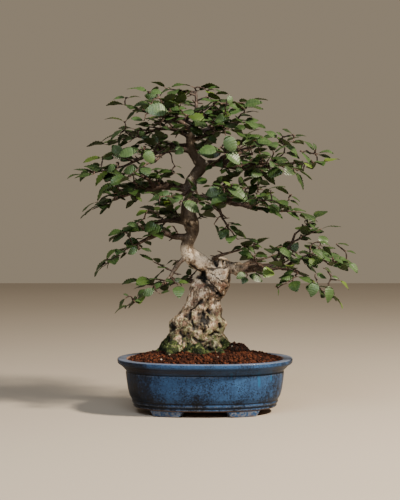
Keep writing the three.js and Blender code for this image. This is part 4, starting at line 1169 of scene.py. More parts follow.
# Marks on the front of the trunk, by pixels of the photograph: a line of corners, its half width
# and depth in mm (a negative depth stands out), and how dark it is. The dark is painted shade in the cracks,
# clefts and pits, partly the bark's own dark, and painted shade under the limbs, on the burl, on the knob's
# right side under the low right limb, and painted leaf shadow on that limb's end.
barkMarks = {
    "crack": [[(200.5, 301), (197, 305), (191.5, 310.5)], 1.3, 2.8, 1.0],
    "crack_tail": [[(191.5, 310.5), (189, 316)], 1.8, 1.6, 0.6],
    "under_limb_shade": [[(190, 266), (196, 271), (203, 274)], 2.8, 2.0, 0.9],
    "cleft_top": [[(194, 275), (199, 276), (204, 279)], 4.2, 3.0, 0.75],
    "cleft": [[(201, 276), (206, 281), (211, 286), (217, 293)], 4.0, 4.0, 0.60],
    "knob_notch": [[(218.5, 295), (221, 297.5)], 2.4, 3.2, 0.9],
    "knob_bulge": [[(224, 280), (226, 286)], 5.5, -3.4, 0.0],
    "strand_1": [[(205, 279), (211, 285.5), (217, 292)], 0.8, -2.2, -0.5],
    "strand_2": [[(208, 279), (214, 285), (219, 290)], 0.7, -2.0, -0.45],
    "strand_3": [[(211, 273.5), (218, 278.5), (225, 283)], 0.7, 1.2, 0.5],
    "knothole": [[(208.5, 311), (210, 312)], 2.4, 4.5, 1.2],
    "hollow": [[(201.5, 314), (200, 320), (197, 327)], 5.5, 4.2, 0.55],
    "hollow_edge": [[(203.5, 313), (205, 321), (204.5, 332)], 1.7, 2.8, 0.9],
    "hollow_left": [[(192, 321), (193, 328)], 1.8, 2.2, 0.8],
    "pit_right": [[(208.5, 323.5), (209, 326.5)], 1.7, 3.0, 1.0],
    "pit_far_right": [[(219.5, 325), (220, 328)], 1.8, 2.4, 0.9],
    "shelf": [[(211, 336), (214, 333.5), (218, 333)], 1.3, 3.0, 1.1],
    "shelf_lip": [[(210, 339.5), (215, 337), (219.5, 337)], 2.6, -1.8, 0.0],
    "left_boss": [[(176, 318), (180, 321)], 4.2, -1.8, 0.0],
    "left_pit": [[(172, 324), (173, 330)], 2.0, 2.2, 0.9],
    "left_fold": [[(184, 317), (189, 315)], 1.4, 2.0, 0.7],
    "lower_fold": [[(180, 333), (184, 337), (183, 342)], 1.6, 2.0, 0.8],
    "lower_slit": [[(193, 337), (198, 341), (204, 341)], 1.5, 2.0, 0.8],
    "burl_shade": [[(213, 259), (222, 259), (231, 263)], 5.5, 0.6, 0.34],
    "burl_low": [[(206, 268), (214, 270), (222, 268)], 1.8, 1.0, 0.35],
    "knob_side_shade": [[(230, 272), (229, 279), (226, 288)], 2.6, 0.4, 0.40],
    "limb_end_shade": [[(238, 262), (246, 266)], 4.5, 0.4, 0.30],
    "burl_pit_left": [[(215, 263), (216.5, 265.5)], 2.3, 3.2, 1.0],
    "burl_pit_right": [[(224.5, 263), (225.5, 267)], 2.3, 2.8, 0.9],
    "knot": [[(188, 224), (190, 226)], 2.2, 1.4, 0.7],
}


# The foot's outline: an oval whose radius swells and sinks with five lobes and, less, with three
def footOutline(sides, z, x, y, halfWidth, halfDepth):
    angle = np.arange(sides) * fullTurn / sides
    lobes = 1 + 0.09 * np.cos(5 * angle + 0.9) + 0.05 * np.cos(3 * angle - 0.6)
    return np.stack([x + halfWidth * lobes * np.cos(angle), y + halfDepth * lobes * np.sin(angle),
                     np.full(sides, float(z))], -1)


# Rings of the lower trunk: the foot's lobed oval at each section, waved a little round and up
def lowerTrunkBody():
    foot = trunk["foot"]
    rows = [[foot["bottom"], foot["x"], foot["y"], foot["halfWidth"], foot["halfDepth"]], *lowerTrunk]
    sections = curveThrough(lowerTrunk, trunk["rings"])
    rings = [footOutline(trunk["sides"], *rows[0])]
    angle = np.arange(trunk["sides"]) * fullTurn / trunk["sides"]
    for z, x, y, halfWidth, halfDepth in sections:
        ring = footOutline(trunk["sides"], z, x, y, halfWidth, halfDepth)
        lump = min(1, (z - foot["top"]) / 30) * 0.045 * np.sin(4 * angle + 0.13 * z)
        lump = lump * np.sin(0.21 * z + angle)
        middle = np.array([x, y, z])
        rings.append(middle + (ring - middle) * (1 + lump)[:, None])
    return loftBody(np.array(rings))


# A tube along the smooth curve through a table's rows, with a ring every so many millimetres
def tubeBody(rows, spacing, sides):
    curve = limbCurve(rows, max(4, math.ceil(stepLengths(rows).sum() / spacing)))
    return loftBody(tubeRings(curve[:, :3], curve[:, 3], sides))


# A collar: the start of a limb, almost half as wide again where it leaves the trunk, by a bell curve
# over its length, and narrowing again where the limb itself takes over
def collarBody(path):
    curve = limbCurve(path, 60)
    length = lengthAlong(curve)
    curve = curve[length < 13 + 1.6 * path[0][3]]
    length = length[: len(curve)]
    flare = 1 + 0.45 * np.exp(-((length / (curve[0, 3] * 1.7)) ** 2))
    radii = curve[:, 3] * flare * (1 - 0.25 * rise(length, 10, 22))
    return loftBody(tubeRings(curve[:, :3], radii, 20))


# How far the bark stands out at each point, how dark it is there, and how mossy. Old wood low down has
# lumps, burls, ridges and pits at full strength, the upper trunk little of them; the marks of the
# photograph fade by a bell curve from their lines, and moss grows near the soil and on what faces up.
def barkRelief(points, normals):
    look = trunk
    x, _, z = points.T
    old = rise(z, 215, 165)
    lumps = layeredNoise(points, look["lumpSize"], 2, 3) * look["lump"] * (0.45 + 0.75 * old)
    ridged = 1 - 2 * np.abs(layeredNoise(points * [1, 1, 0.38], look["ridgeSize"], 2, 11))
    ridges = ridged * look["ridge"] * (0.25 + 0.75 * old)
    waved = points + np.stack([noise(points, 8, seed) for seed in (81, 83, 85)], -1) * 3.2
    burl = cellDistance(waved, look["burlSize"], 15)
    burls = (rise(burl, 0.75, 0.15) - 0.5) * look["burl"] * old
    where = rise(layeredNoise(points, 21, 2, 23), -0.15, 0.30)
    pits = rise(cellDistance(points, look["pitSize"], 5), 0.42, 0.12) * where * (0.18 + 0.82 * old)
    small = rise(cellDistance(points, look["smallPitSize"], 9), 0.40, 0.12)
    small = small * rise(noise(points, 12, 31), -0.3, 0.4)
    grain = layeredNoise(points, look["grainSize"], 2, 41) * look["grain"] * (0.3 + 0.7 * old)
    depth = look["pit"] * pits + look["smallPit"] * small * (0.35 + 0.65 * old)
    # The dark is painted shade in the pits and between the ridges and burls, partly the bark's own dark
    between = 0.35 * rise(-ridged, 0.25, 0.9) + 0.42 * rise(burl, 0.60, 0.85)
    dark = 0.60 * pits + 0.60 * small + between * old
    front = rise(-normals[:, 1], 0.05, 0.5)
    shift = [layeredNoise(points, 5, 2, 91), x * 0, layeredNoise(points, 5, 2, 95)]
    ragged = points + np.stack(shift, -1) * 2.6
    for pixels, halfWidth, markDepth, darkness in barkMarks.values():
        corners = fromPhoto(pixels, look["frontPlane"])
        fade = np.exp(-((fromLine(ragged, corners) / halfWidth) ** 2)) * front
        depth = depth + markDepth * fade
        dark = dark + darkness * fade
    mossy = layeredNoise(points, look["mossSize"], 3, 53) + 0.30 * normals[:, 2] - 0.15 * normals[:, 0]
    moss = rise(mossy + rise(z, 118, 82) * 1.05, 0.66, 1.0) * rise(z, 130, 112)
    tufts = moss * look["mossHeight"] * (0.6 + layeredNoise(points, 1.8, 2, 61))
    return lumps + burls + ridges + grain - depth + tufts, dark, moss


# Where the collars turn from the trunk's bark to young wood: within about 1.5 radii of the limb's line,
# and rising from 0 to 1 over 8 mm of its length
def youngWood(points):
    young = np.zeros(len(points))
    for name in trunkLimbs:
        curve = limbCurve(wood[name], 60)
        length = lengthAlong(curve)
        curve, length = curve[length < trunk["youngReach"]], length[length < trunk["youngReach"]]
        close = np.nonzero(np.linalg.norm(points - curve[len(curve) // 2, :3], axis=1) < 26)[0]
        apart = np.linalg.norm(points[close, None] - curve[None, :, :3], axis=2)
        nearest = apart.argmin(1)
        inside = rise(apart.min(1) / curve[nearest, 3], 1.9, 1.2)
        start = 5 + 0.3 * wood[name][0][3]
        young[close] = np.maximum(young[close], inside * rise(length[nearest], start, start + 8))
    return young * rise(points[:, 2], 150, 190) * youngShare


# The trunk's mesh: its bodies fused and smoothed, each point then moved out by the bark's relief there
def makeTrunk():
    bodies = [lowerTrunkBody(), tubeBody(wood["knob"], 1.5, 40), tubeBody(wood["upper_trunk"], 1.5, 36)]
    bodies += [tubeBody(path, 2, 20) for path in roots]
    bodies += [collarBody(wood[name]) for name in trunkLimbs]
    rough = makeMesh("trunk", *gather(bodies))
    fused = afterModifiers(rough, ("REMESH", {"mode": "VOXEL", "voxel_size": trunk["voxel"]}),
                           ("SMOOTH", {"factor": 0.5, "iterations": trunk["smoothing"]}))
    fused.shade_smooth()
    points, normals = meshPoints(fused)
    outward, dark, moss = barkRelief(points, normals)
    moveMeshTo(fused, points + normals * outward[:, None])
    addMarks(fused, np.clip(dark, 0, 1.2), moss, youngWood(points))
    return fused


# Limbs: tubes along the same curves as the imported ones, flared where they leave, knobbly and rough
limbLook = {"spacing": 1.3, "sides": 14, "flare": 0.35, "knots": 3, "knotRise": 0.22, "roughness": 0.11}
youngShare = 0.92
trunkLimbs = [
    "low_right", "inner", "low_left_near", "low_left_far", "middle_left_low", "middle_left_back",
    "middle_left", "upper_left", "upper_left_rear", "top_left", "top_left_near", "top_left_rear", "apex",
    "apex_rear", "apex_near", "top_right_up", "top_right", "top_right_rear", "upper_right",
    "middle_right", "middle_right_rear", "rear_low", "rear_high", "near_middle",
]


# A limb's rings, their radius flared at the start by a falling exponential and swollen by a bell curve
# at each knot, then made rough by noise and small pits; and how young its wood is, by its radius
def limbBody(path, index):
    curve = limbCurve(path, math.ceil(stepLengths(path).sum() / limbLook["spacing"]))
    length = lengthAlong(curve)
    radii = curve[:, 3] * (1 + limbLook["flare"] * np.exp(-length / (1.2 * curve[0, 3])))
    for knot in range(limbLook["knots"]):
        place = length[-1] * (0.15 + 0.75 * draw(3.3 * index + knot))
        radii = radii * (1 + limbLook["knotRise"] * np.exp(-(((length - place) / (1.1 * curve[0, 3])) ** 2)))
    rings = tubeRings(curve[:, :3], radii, limbLook["sides"])
    centre = curve[:, None, :3]
    points = rings.reshape(-1, 3)
    lumps = (layeredNoise(points, 6, 2, 71) + 0.6 * layeredNoise(points, 2.6, 2, 73)) * limbLook["roughness"]
    lumps = lumps - 0.10 * rise(cellDistance(points, 3.6, 9), 0.40, 0.12)
    rings = centre + (rings - centre) * (1 + lumps.reshape(rings.shape[:2]))[..., None]
    young = np.repeat(rise(radii, 9.6, 7.0), limbLook["sides"])
    return loftBody(rings), np.r_[young, young[0], young[-1]]


# The limbs' mesh, with dark creases where layered noise falls below zero
def makeLimbs():
    made = [limbBody(wood[name], i) for i, name in enumerate(limbNames, firstLimb)]
    mesh = makeMesh("limbs", *gather([body for body, _ in made]))
    points = meshPoints(mesh)[0]
    creases = rise(-layeredNoise(points, 3, 2, 77), 0.15, 0.55)
    addMarks(mesh, 0.55 * creases, 0.0, np.concatenate([young for _, young in made]) * youngShare)
    return mesh


# Twigs: thin zigzag stems, thickened by a bell curve at each bud
twigLook = {
    "sides": 7, "perInternode": 5, "base": 1.3, "tip": 0.62, "bud": 0.38, "budLength": 0.18, "end": 0.55,
}


# A twig along the smooth curve through its nodes, thinning evenly from base to tip
def twigBody(spray):
    nodes = spray["nodes"]
    count = len(nodes) - 1
    radii = np.linspace(twigLook["base"], twigLook["tip"], count + 1) * spray.get("thickness", 1)
    steps = twigLook["perInternode"] * count
    curve = curveThrough(np.c_[nodes, radii], steps)
    place = np.arange(steps + 1) / twigLook["perInternode"]
    fromBud = np.abs(place - np.round(place))
    size = curve[:, 3] * (1 + twigLook["bud"] * np.exp(-((fromBud / twigLook["budLength"]) ** 2)))
    size[-1] *= twigLook["end"]
    return loftBody(tubeRings(curve[:, :3], size, twigLook["sides"]))


# Snags: short dead stubs on the limbs, each at a drawn place, heading and length, with a bent end
def snagBody(limb, key):
    curve = limbPaths[limb]
    spot = curve[int(draw(key) * (len(curve) - 1.01)) + 1]
    heading = headingOf(360 * draw(key + 1.3), 100 * draw(key + 2.1) - 55)
    length = spot[3] + 3 + 9 * draw(key + 3.7)
    bend = headingOf(360 * draw(key + 4.9), 60 * draw(key + 5.3) - 30)
    rows = [[*spot[:3], 1.1], [*(spot[:3] + heading * length * 0.6), 0.85],
            [*(spot[:3] + heading * length + bend * 1.6), 0.5]]
    return tubeBody(rows, 2.0, 6)


# The twigs' mesh: a body for every twig laid, and three snags on each limb
def makeTwigs():
    bodies = [twigBody(spray) for spray in laidTwigs]
    bodies = [(np.clip(points, boxLow, boxHigh), faces) for points, faces in bodies]
    bodies += [snagBody(name, 17.3 * i + 5.1 * k) for i, name in enumerate(limbNames) for k in range(3)]
    mesh = makeMesh("twigs", *gather(bodies))
    addMarks(mesh, 0.0, 0.0, 1.0)
    return mesh


# Leaves: a short stalk and a toothed, pleated oval blade with a drawn-out tip. The upper face is a grid
# of rows by five columns, the lower face has one column between the same edges, so each leaf is closed.
leafShape = {
    "rows": 14, "stalk": 0.10, "stalkRadius": 0.48, "slant": 0.10, "tooth": 0.020, "pleat": 0.011,
    "fold": 0.22, "curl": 0.14, "twist": 0.22, "wave": 0.018, "droop": 0.05, "thickness": 0.34,
}


# All leaves at once, as an array of leaves by points by 3, with the template's faces, map and marks
def leafPoints(base, along, across, face, length, seeds):
    look = leafShape
    rows = look["rows"]
    u = (np.arange(1, rows) / rows)[:, None]
    v = np.array([-1, -0.5, 0, 0.5, 1])[None, :]
    swell = np.sin(math.pi * u)
    share = u + look["slant"] * np.abs(v) * swell * (1 - u)
    odd = (np.arange(1, rows) % 2)[:, None]
    tooth = (odd - 0.5) * 2 * look["tooth"] * np.abs(v) ** 3 * swell**0.5
    half = bladeWidth(share) * 1.04 + tooth
    share = share + 0.5 * tooth
    pleat = look["pleat"] * (odd - 0.5) * 2 * np.minimum(1, 2 * np.abs(v)) * swell
    pick = seeds[:, :, None, None]
    fold = look["fold"] * (0.3 + 1.2 * pick[:, 0]) * np.abs(v) * half
    curl = look["curl"] * (0.2 + 1.6 * pick[:, 1]) * v**2 * half
    twist = look["twist"] * (2 * pick[:, 2] - 1) * v * half * (u - 0.4) * 2
    wave = look["wave"] * np.sin(fullTurn * (1.4 * u + pick[:, 3]) + 2.2 * np.sign(v)) * np.abs(v) * swell
    droop = look["droop"] * (2 * pick[:, 4] - 0.6) * share**2
    lift = pleat + fold - curl + twist + wave - droop
    count = len(base)
    full = (count, rows - 1, 5)
    fromBase = look["stalk"] + (1 - look["stalk"]) * share
    base, along, across, face = (part[:, None, None] for part in (base, along, across, face))
    size = length[:, None, None, None]

    # Places in a blade's own frame, each a share of its length along, aside and above the midrib's arch
    def place(*shares):
        ahead, aside, above = (np.broadcast_to(part, (count, *part.shape[-2:])) for part in shares)
        above = bladeArch(np.clip(ahead, 0, 1)) + above
        offset = ahead[..., None] * along + aside[..., None] * across + above[..., None] * face
        return base + offset * size

    top = place(fromBase, v * half, lift)
    inner = np.zeros(full)
    inner[:, :, 1:4] = 0.5 * look["thickness"]
    top = top + face * inner[..., None]
    under = top[:, :, 2:3] - face * look["thickness"]
    tipDroop = (look["droop"] * (2 * seeds[:, 4] - 0.6))[:, None, None]
    ends = place(np.array([[look["stalk"], 1.0]]), np.zeros((1, 2)), np.array([[0.0, 1.0]]) * -tipDroop)
    angle = np.arange(4) * fullTurn / 4
    ring = np.cos(angle)[:, None] * across + np.sin(angle)[:, None] * face
    radii = np.array([1.25, 0.85, 0.7])[:, None, None] * look["stalkRadius"]
    flat = np.zeros((1, 3))
    line = place(np.array([[0.0, look["stalk"] * 0.55, look["stalk"] * 1.12]]), flat, flat)
    stalk = line.reshape(count, 3, 1, 3) + ring * radii
    return np.concatenate([top.reshape(count, -1, 3), under.reshape(count, -1, 3), ends.reshape(count, 2, 3),
                           stalk.reshape(count, 12, 3)], 1)


# Faces of one leaf, whether each is on the underside, the map of each point and which lie on the edge
def leafTemplate():
    inner = leafShape["rows"] - 1
    top = np.arange(inner * 5).reshape(inner, 5)
    under = inner * 5 + np.arange(inner)
    base, tip = inner * 6, inner * 6 + 1
    quads = [gridFaces(inner, 5)[:, ::-1]]
    left = np.stack([top[:-1, 0], under[:-1], under[1:], top[1:, 0]], -1)
    right = np.stack([under[:-1], top[:-1, 4], top[1:, 4], under[1:]], -1)
    triangles = [[base, top[0, k + 1], top[0, k]] for k in range(4)]
    triangles += [[tip, top[-1, k], top[-1, k + 1]] for k in range(4)]
    lower = [[base, top[0, 0], under[0]], [base, under[0], top[0, 4]],
             [tip, under[-1], top[-1, 0]], [tip, top[-1, 4], under[-1]]]
    stalkStart = inner * 6 + 2
    stalk = gridFaces(3, 4, ring=True) + stalkStart
    caps = np.array([[3, 2, 1, 0], [8, 9, 10, 11]]) + stalkStart
    quads = np.vstack([quads[0], left, right, stalk, caps])
    triangles = np.vstack([triangles, lower])
    quadUnder = np.r_[np.zeros(4 * (inner - 1)), np.ones(2 * (inner - 1)), np.zeros(len(stalk) + 2)]
    triangleUnder = np.r_[np.zeros(8), np.ones(4)]
    u = np.arange(1, inner + 1) / (inner + 1)
    places = np.zeros((inner * 6 + 14, 2))
    places[: inner * 5] = np.stack([np.repeat(u, 5), np.tile([0, 0.25, 0.5, 0.75, 1], inner)], -1)
    places[inner * 5: inner * 6] = np.stack([u, np.full(inner, 0.5)], -1)
    places[base], places[tip] = (0, 0.5), (1, 0.5)
    places[stalkStart:] = (0, 0.5)
    edge = np.zeros(len(places), bool)
    edge[top[:, [0, 4]].ravel()] = True
    edge[[base, tip]] = True
    stalkMark = np.zeros(len(places))
    stalkMark[stalkStart:] = 1
    return quads, triangles, quadUnder, triangleUnder, places, edge, stalkMark


# The leaves' mesh: the template's faces once for each leaf, and six draws that set its form and tone
def makeLeaves():
    n = layout.count
    seeds = np.array([[draw(3.7 * i + 0.43 * k) for k in range(6)] for i in range(n)])
    parts = (layout.base, layout.along, layout.across, layout.face, layout.length)
    points = np.clip(leafPoints(*(part[:n, 0] for part in parts), seeds), boxLow, boxHigh)
    quads, triangles, quadUnder, triangleUnder, places, edge, stalkMark = leafTemplate()
    start = (np.arange(n) * points.shape[1])[:, None, None]
    faces = [(quads + start).reshape(-1, 4), (triangles + start).reshape(-1, 3)]
    mesh = makeMesh("leaves", points.reshape(-1, 3), faces)
    addUv(mesh, np.tile(places, (n, 1)))
    addAttribute(mesh, "tone", np.repeat(seeds[:, 5], points.shape[1]))
    # Besides the seen leaves' sheen, about a fifth of all leaves get some painted sheen
    sky = np.maximum(layout.sky[:n], 0.4 * (seeds[:, 4] > 0.78))
    addAttribute(mesh, "sky", np.repeat(sky, points.shape[1]))
    addAttribute(mesh, "stalk", np.tile(stalkMark, n))
    addAttribute(mesh, "underside", np.r_[np.tile(quadUnder, n), np.tile(triangleUnder, n)], "FACE")
    pairs = np.zeros(len(mesh.edges) * 2, np.int32)
    mesh.edges.foreach_get("vertices", pairs)
    sharp = np.tile(edge, n)[pairs].reshape(-1, 2).all(1)
    mesh.attributes.new("sharp_edge", "BOOLEAN", "EDGE").data.foreach_set("value", sharp)
    return mesh


# Pot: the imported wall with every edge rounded, four bracket feet and two round drainage holes
pot = {
    "width": 240, "depth": 180, "roundness": 2.3, "sides": 256, "edge": 1.5, "edgeSteps": 4,
    "holeRadius": 10, "holeX": 46, "holeFrom": 2.0, "holeTo": 25.0, "holeSides": 48, "unevenness": 0.25,
}
outerWall = [
    [8, 24], [9.6, 21.4], [12.2, 22.4], [14.8, 19.6], [17.6, 20.4], [24, 16.6], [33, 14.4], [45, 12.6],
    [55.5, 11.6], [57, 12.8], [60.5, 9.2], [64, 6], [67.8, 0.5], [72.8, 0], [74, 1.6],
]
innerWall = [[73.2, 13.6], [55, 18.6], [36, 21.4], [23, 26], [18, 32]]
potFoot = {"from": 29, "to": 76, "inset": 23.6, "thick": 12.8, "top": 10, "sweep": 0.15, "steps": 40}


# Points of the pot's oval at angles, a set-back in from its edge
def ovalPoints(angles, inset):
    power = 2 / pot["roundness"]
    x, y = (np.sign(wave) * np.abs(wave) ** power for wave in (np.cos(angles), np.sin(angles)))
    return (pot["width"] / 2 - inset) * x, (pot["depth"] / 2 - inset) * y


# A line with each corner rounded: between two points beside the corner the line is the parabola that it pulls
def roundCorners(rows, radius, steps):
    rows = np.asarray(rows, float)
    made = [rows[:1]]
    for before, corner, after in zip(rows[:-2], rows[1:-1], rows[2:]):
        reaches = [min(radius, 0.45 * np.linalg.norm(side - corner)) for side in (before, after)]
        start, end = (corner + unit(side - corner) * reach for side, reach in zip((before, after), reaches))
        t = (np.arange(steps + 1) / steps)[:, None]
        made.append((1 - t) ** 2 * start + 2 * t * (1 - t) * corner + t**2 * end)
    return np.vstack([*made, rows[-1:]])


# A foot hangs from the body on the oval's own curve, its lower edge sweeping up at both ends
def footBody(signX, signY):
    look = potFoot
    share = np.arange(look["steps"] + 1) / look["steps"]
    x = look["from"] + (look["to"] - look["from"]) * share
    fromEnd = np.minimum(share, 1 - share)
    low = (look["top"] - 1.6) * rise(fromEnd, look["sweep"], 0.0)
    rings = []
    for place, bottom in zip(x, low):
        corners = [[bottom, look["inset"] + 0.6], [bottom, look["inset"] + look["thick"] + 0.8],
                   [look["top"], look["inset"] + look["thick"]], [look["top"], look["inset"]]]
        closed = np.array([corners[-1], *corners, corners[0], corners[1]])
        section = roundCorners(closed, 1.2, 3)[5:-1]
        angle = np.arccos(np.clip(place / (pot["width"] / 2 - look["inset"]), 0, 1) ** (pot["roundness"] / 2))
        px, py = ovalPoints(angle, section[:, 1])
        rings.append(np.stack([signX * px, signY * py, section[:, 0]], -1))
    rings = np.array(rings)
    return loftBody(rings if signX * signY < 0 else rings[:, ::-1])


# A body after another one is joined to it or taken from it
def combined(body, other, operation):
    settings = {"object": addObject(other.name, other), "operation": operation, "solver": "EXACT"}
    body = afterModifiers(body, ("BOOLEAN", settings))
    bpy.data.meshes.remove(other)
    return body


# The pot's oval at a height, set back from its edge
def ovalRing(z, inset, sides):
    angles = (np.arange(sides) + 0.5) * fullTurn / sides
    return np.stack([*ovalPoints(angles, inset), np.full(sides, float(z))], -1)


# The pot's mesh: the wall turned round its oval, the holes drilled and the feet joined, then sunk
# unevenly by up to a quarter millimetre
def makePot():
    profile = roundCorners([*outerWall, *innerWall], pot["edge"], pot["edgeSteps"])
    rings = np.array([ovalRing(z, inset, pot["sides"]) for z, inset in profile])
    body = makeMesh("pot_body", *gather([loftBody(rings)]))
    turn = np.arange(pot["holeSides"]) * fullTurn / pot["holeSides"]
    for side in (-1, 1):
        x, y = side * pot["holeX"] + pot["holeRadius"] * np.cos(turn), pot["holeRadius"] * np.sin(turn)
        drill = np.array([np.stack([x, y, np.full(len(x), z)], -1) for z in (pot["holeFrom"], pot["holeTo"])])
        body = combined(body, makeMesh("drill", *gather([loftBody(drill)])), "DIFFERENCE")
    feet = [footBody(x, y) for x in (-1, 1) for y in (-1, 1)]
    body = combined(body, makeMesh("feet", *gather(feet)), "UNION")
    body.name = "glazed_pot"
    points, normals = meshPoints(body)
    inward = (normals[:, :2] * unit(points[:, :2] + 1e-6)).sum(1)
    inside = (inward < -0.25) & (points[:, 2] > 8.5)
    floorInside = (points[:, 2] < 20) & (normals[:, 2] > 0.6) & (points[:, 2] > 12)
    addAttribute(body, "bare", (inside | floorInside).astype(float))
    faceNormals, faceMiddles = readRows(body.polygons, "normal"), readRows(body.polygons, "center")
    under = (faceNormals[:, 2] < -0.7) & (faceMiddles[:, 2] < 0.0088)
    addAttribute(body, "unglazed", under.astype(float), "FACE")
    sink = pot["unevenness"] * (0.5 + 0.5 * layeredNoise(points, 26, 2, 5))
    moveMeshTo(body, points - normals * sink[:, None])
    body.set_sharp_from_angle(angle=math.radians(50))
    return body


# Soil: a near-black bed, painted shade in the gaps between grains, that fills the pot under a skin of separate
# grains
soil = {
    "edgeHeight": 71.5, "edgeInset": 14.6, "rise": 13, "fall": 3, "sink": 2.6, "sides": 96, "rings": 26,
    "bottom": 20.4, "bedShadeTone": 0.14, "spacing": 3.25, "jitter": 0.42, "rowShare": 0.87, "edgeShare": 0.985,
    "trunkShare": 0.80, "small": 1.6, "large": 2.5, "pumice": 0.004, "templates": 8,
}
soilWall = [[23, 26.7], [36, 22.1], [55, 19.3]]


# The mound's height: the edge's, and a rise that falls off by the third power of how far out it is
def moundHeight(share):
    return soil["edgeHeight"] + soil["rise"] * (1 - np.clip(share, 0, 1) ** soil["fall"])


# How far out a place lies, from 0 in the middle to 1 at the soil's edge
def soilShare(x, y):
    n = pot["roundness"]
    halfWidth, halfDepth = pot["width"] / 2 - soil["edgeInset"], pot["depth"] / 2 - soil["edgeInset"]
    return (np.abs(x / halfWidth) ** n + np.abs(y / halfDepth) ** n) ** (1 / n)


# The bed's mesh: it follows the pot's inner wall up and then the mound inward, a little below the grains, and
# its near-black tone is painted shade in the gaps between them
def makeSoilBed():
    wall = [[soil["bottom"], 30.2], *soilWall, [soil["edgeHeight"] - soil["sink"], 14.8]]
    rings = [ovalRing(z, inset, soil["sides"]) for z, inset in wall]
    x, y, _ = ovalRing(0, soil["edgeInset"] + 0.2, soil["sides"]).T
    for share in np.linspace(1, 0.02, soil["rings"]):
        height = np.full(soil["sides"], moundHeight(share) - soil["sink"])
        rings.append(np.stack([x * share, y * share, height], -1))
    rings = np.array(rings)
    top = rings[len(wall):].reshape(-1, 3)
    rings[len(wall):, :, 2] += 0.8 * layeredNoise(top, 9, 2, 15).reshape(-1, soil["sides"])
    mesh = makeMesh("soil_bed", *gather([loftBody(rings)]))
    addAttribute(mesh, "tone", np.full(len(mesh.vertices), soil["bedShadeTone"]))
    return mesh


# Grain shapes: a cube of 24 quads swollen to a ball, then pulled about corner by corner
def grainTemplates():
    corners = np.array([[i, j, k] for i in range(3) for j in range(3) for k in range(3)], float) - 1
    outer = np.nonzero(np.abs(corners).max(1) == 1)[0]
    number = {tuple(corners[index].astype(int)): place for place, index in enumerate(outer)}
    quads = []
    for axis in range(3):
        for side in (-1, 1):
            for a in (-1, 0):
                for b in (-1, 0):
                    quad = []
                    for da, db in ((0, 0), (1, 0), (1, 1), (0, 1)):
                        corner = [0, 0, 0]
                        corner[axis], corner[(axis + 1) % 3], corner[(axis + 2) % 3] = side, a + da, b + db
                        quad.append(number[tuple(corner)])
                    quads.append(quad if side > 0 else quad[::-1])
    ball = unit(corners[outer]) * 0.72 + corners[outer] * 0.2
    pulls = [layeredNoise(ball + 10 * k, 0.9, 2, 3 * k)[:, None] for k in range(soil["templates"])]
    return np.array([ball * (1 + 0.42 * pull) for pull in pulls]), np.array(quads)


# Turned copies of the grain shapes at places, each scaled along its own three axes
def grainMesh(name, places, sizes, tones, seed):
    shapes, quads = grainTemplates()
    rng = np.random.default_rng(seed)
    count = len(places)
    quaternion = unit(rng.normal(size=(count, 4)))
    w, x, y, z = quaternion.T
    turn = np.stack([
        1 - 2 * (y * y + z * z), 2 * (x * y - z * w), 2 * (x * z + y * w),
        2 * (x * y + z * w), 1 - 2 * (x * x + z * z), 2 * (y * z - x * w),
        2 * (x * z - y * w), 2 * (y * z + x * w), 1 - 2 * (x * x + y * y)], -1).reshape(-1, 3, 3)
    stretch = sizes[:, None] * rng.uniform(0.78, 1.22, (count, 3))
    local = shapes[rng.integers(0, len(shapes), count)] * stretch[:, None]
    points = np.einsum("nij,nkj->nki", turn, local) + places[:, None]
    faces = (quads[None] + (np.arange(count) * shapes.shape[1])[:, None, None]).reshape(-1, 4)
    mesh = makeMesh(name, points.reshape(-1, 3), [faces])
    addAttribute(mesh, "tone", np.repeat(tones, shapes.shape[1]))
    return mesh


# Grains on a jittered honeycomb over the mound, none where the trunk stands
def makeGrains():
    rng = np.random.default_rng(4)
    step, jitter = soil["spacing"], soil["jitter"]
    column, row = np.meshgrid(np.arange(-34, 35), np.arange(-30, 31))
    x = ((column + 0.5 * (row % 2)) * step).ravel()
    y = (row * step * soil["rowShare"]).ravel()
    x, y = (flat + rng.uniform(-jitter, jitter, flat.shape) * step for flat in (x, y))
    share = soilShare(x, y)
    foot, kept = trunk["foot"], soil["trunkShare"]
    aside = (x - foot["x"]) / (kept * foot["halfWidth"])
    keep = (share < soil["edgeShare"]) & (np.hypot(aside, (y - foot["y"]) / (kept * foot["halfDepth"])) >= 1)
    x, y, share = x[keep], y[keep], share[keep]
    size = rng.uniform(soil["small"], soil["large"], len(x))
    size = size * rng.choice([0.8, 1, 1.18], len(x), p=[0.3, 0.5, 0.2])
    height = moundHeight(share) - 0.6 * size + rng.uniform(-1.5, 0.9, len(x))
    tone = rng.uniform(0.12, 0.92, len(x))
    tone[rng.uniform(size=len(x)) < soil["pumice"]] = 1.0
    return grainMesh("soil_grains", np.stack([x, y, height], -1), size, tone, 8)


# Clump: a heap of dark crumbs with a few white bits that lies right of the trunk
clump = {
    "x": 45, "y": -2, "halfWidth": 15, "halfDepth": 12, "height": 11.5, "count": 460, "red": 0.45,
    "white": 0.02,
}


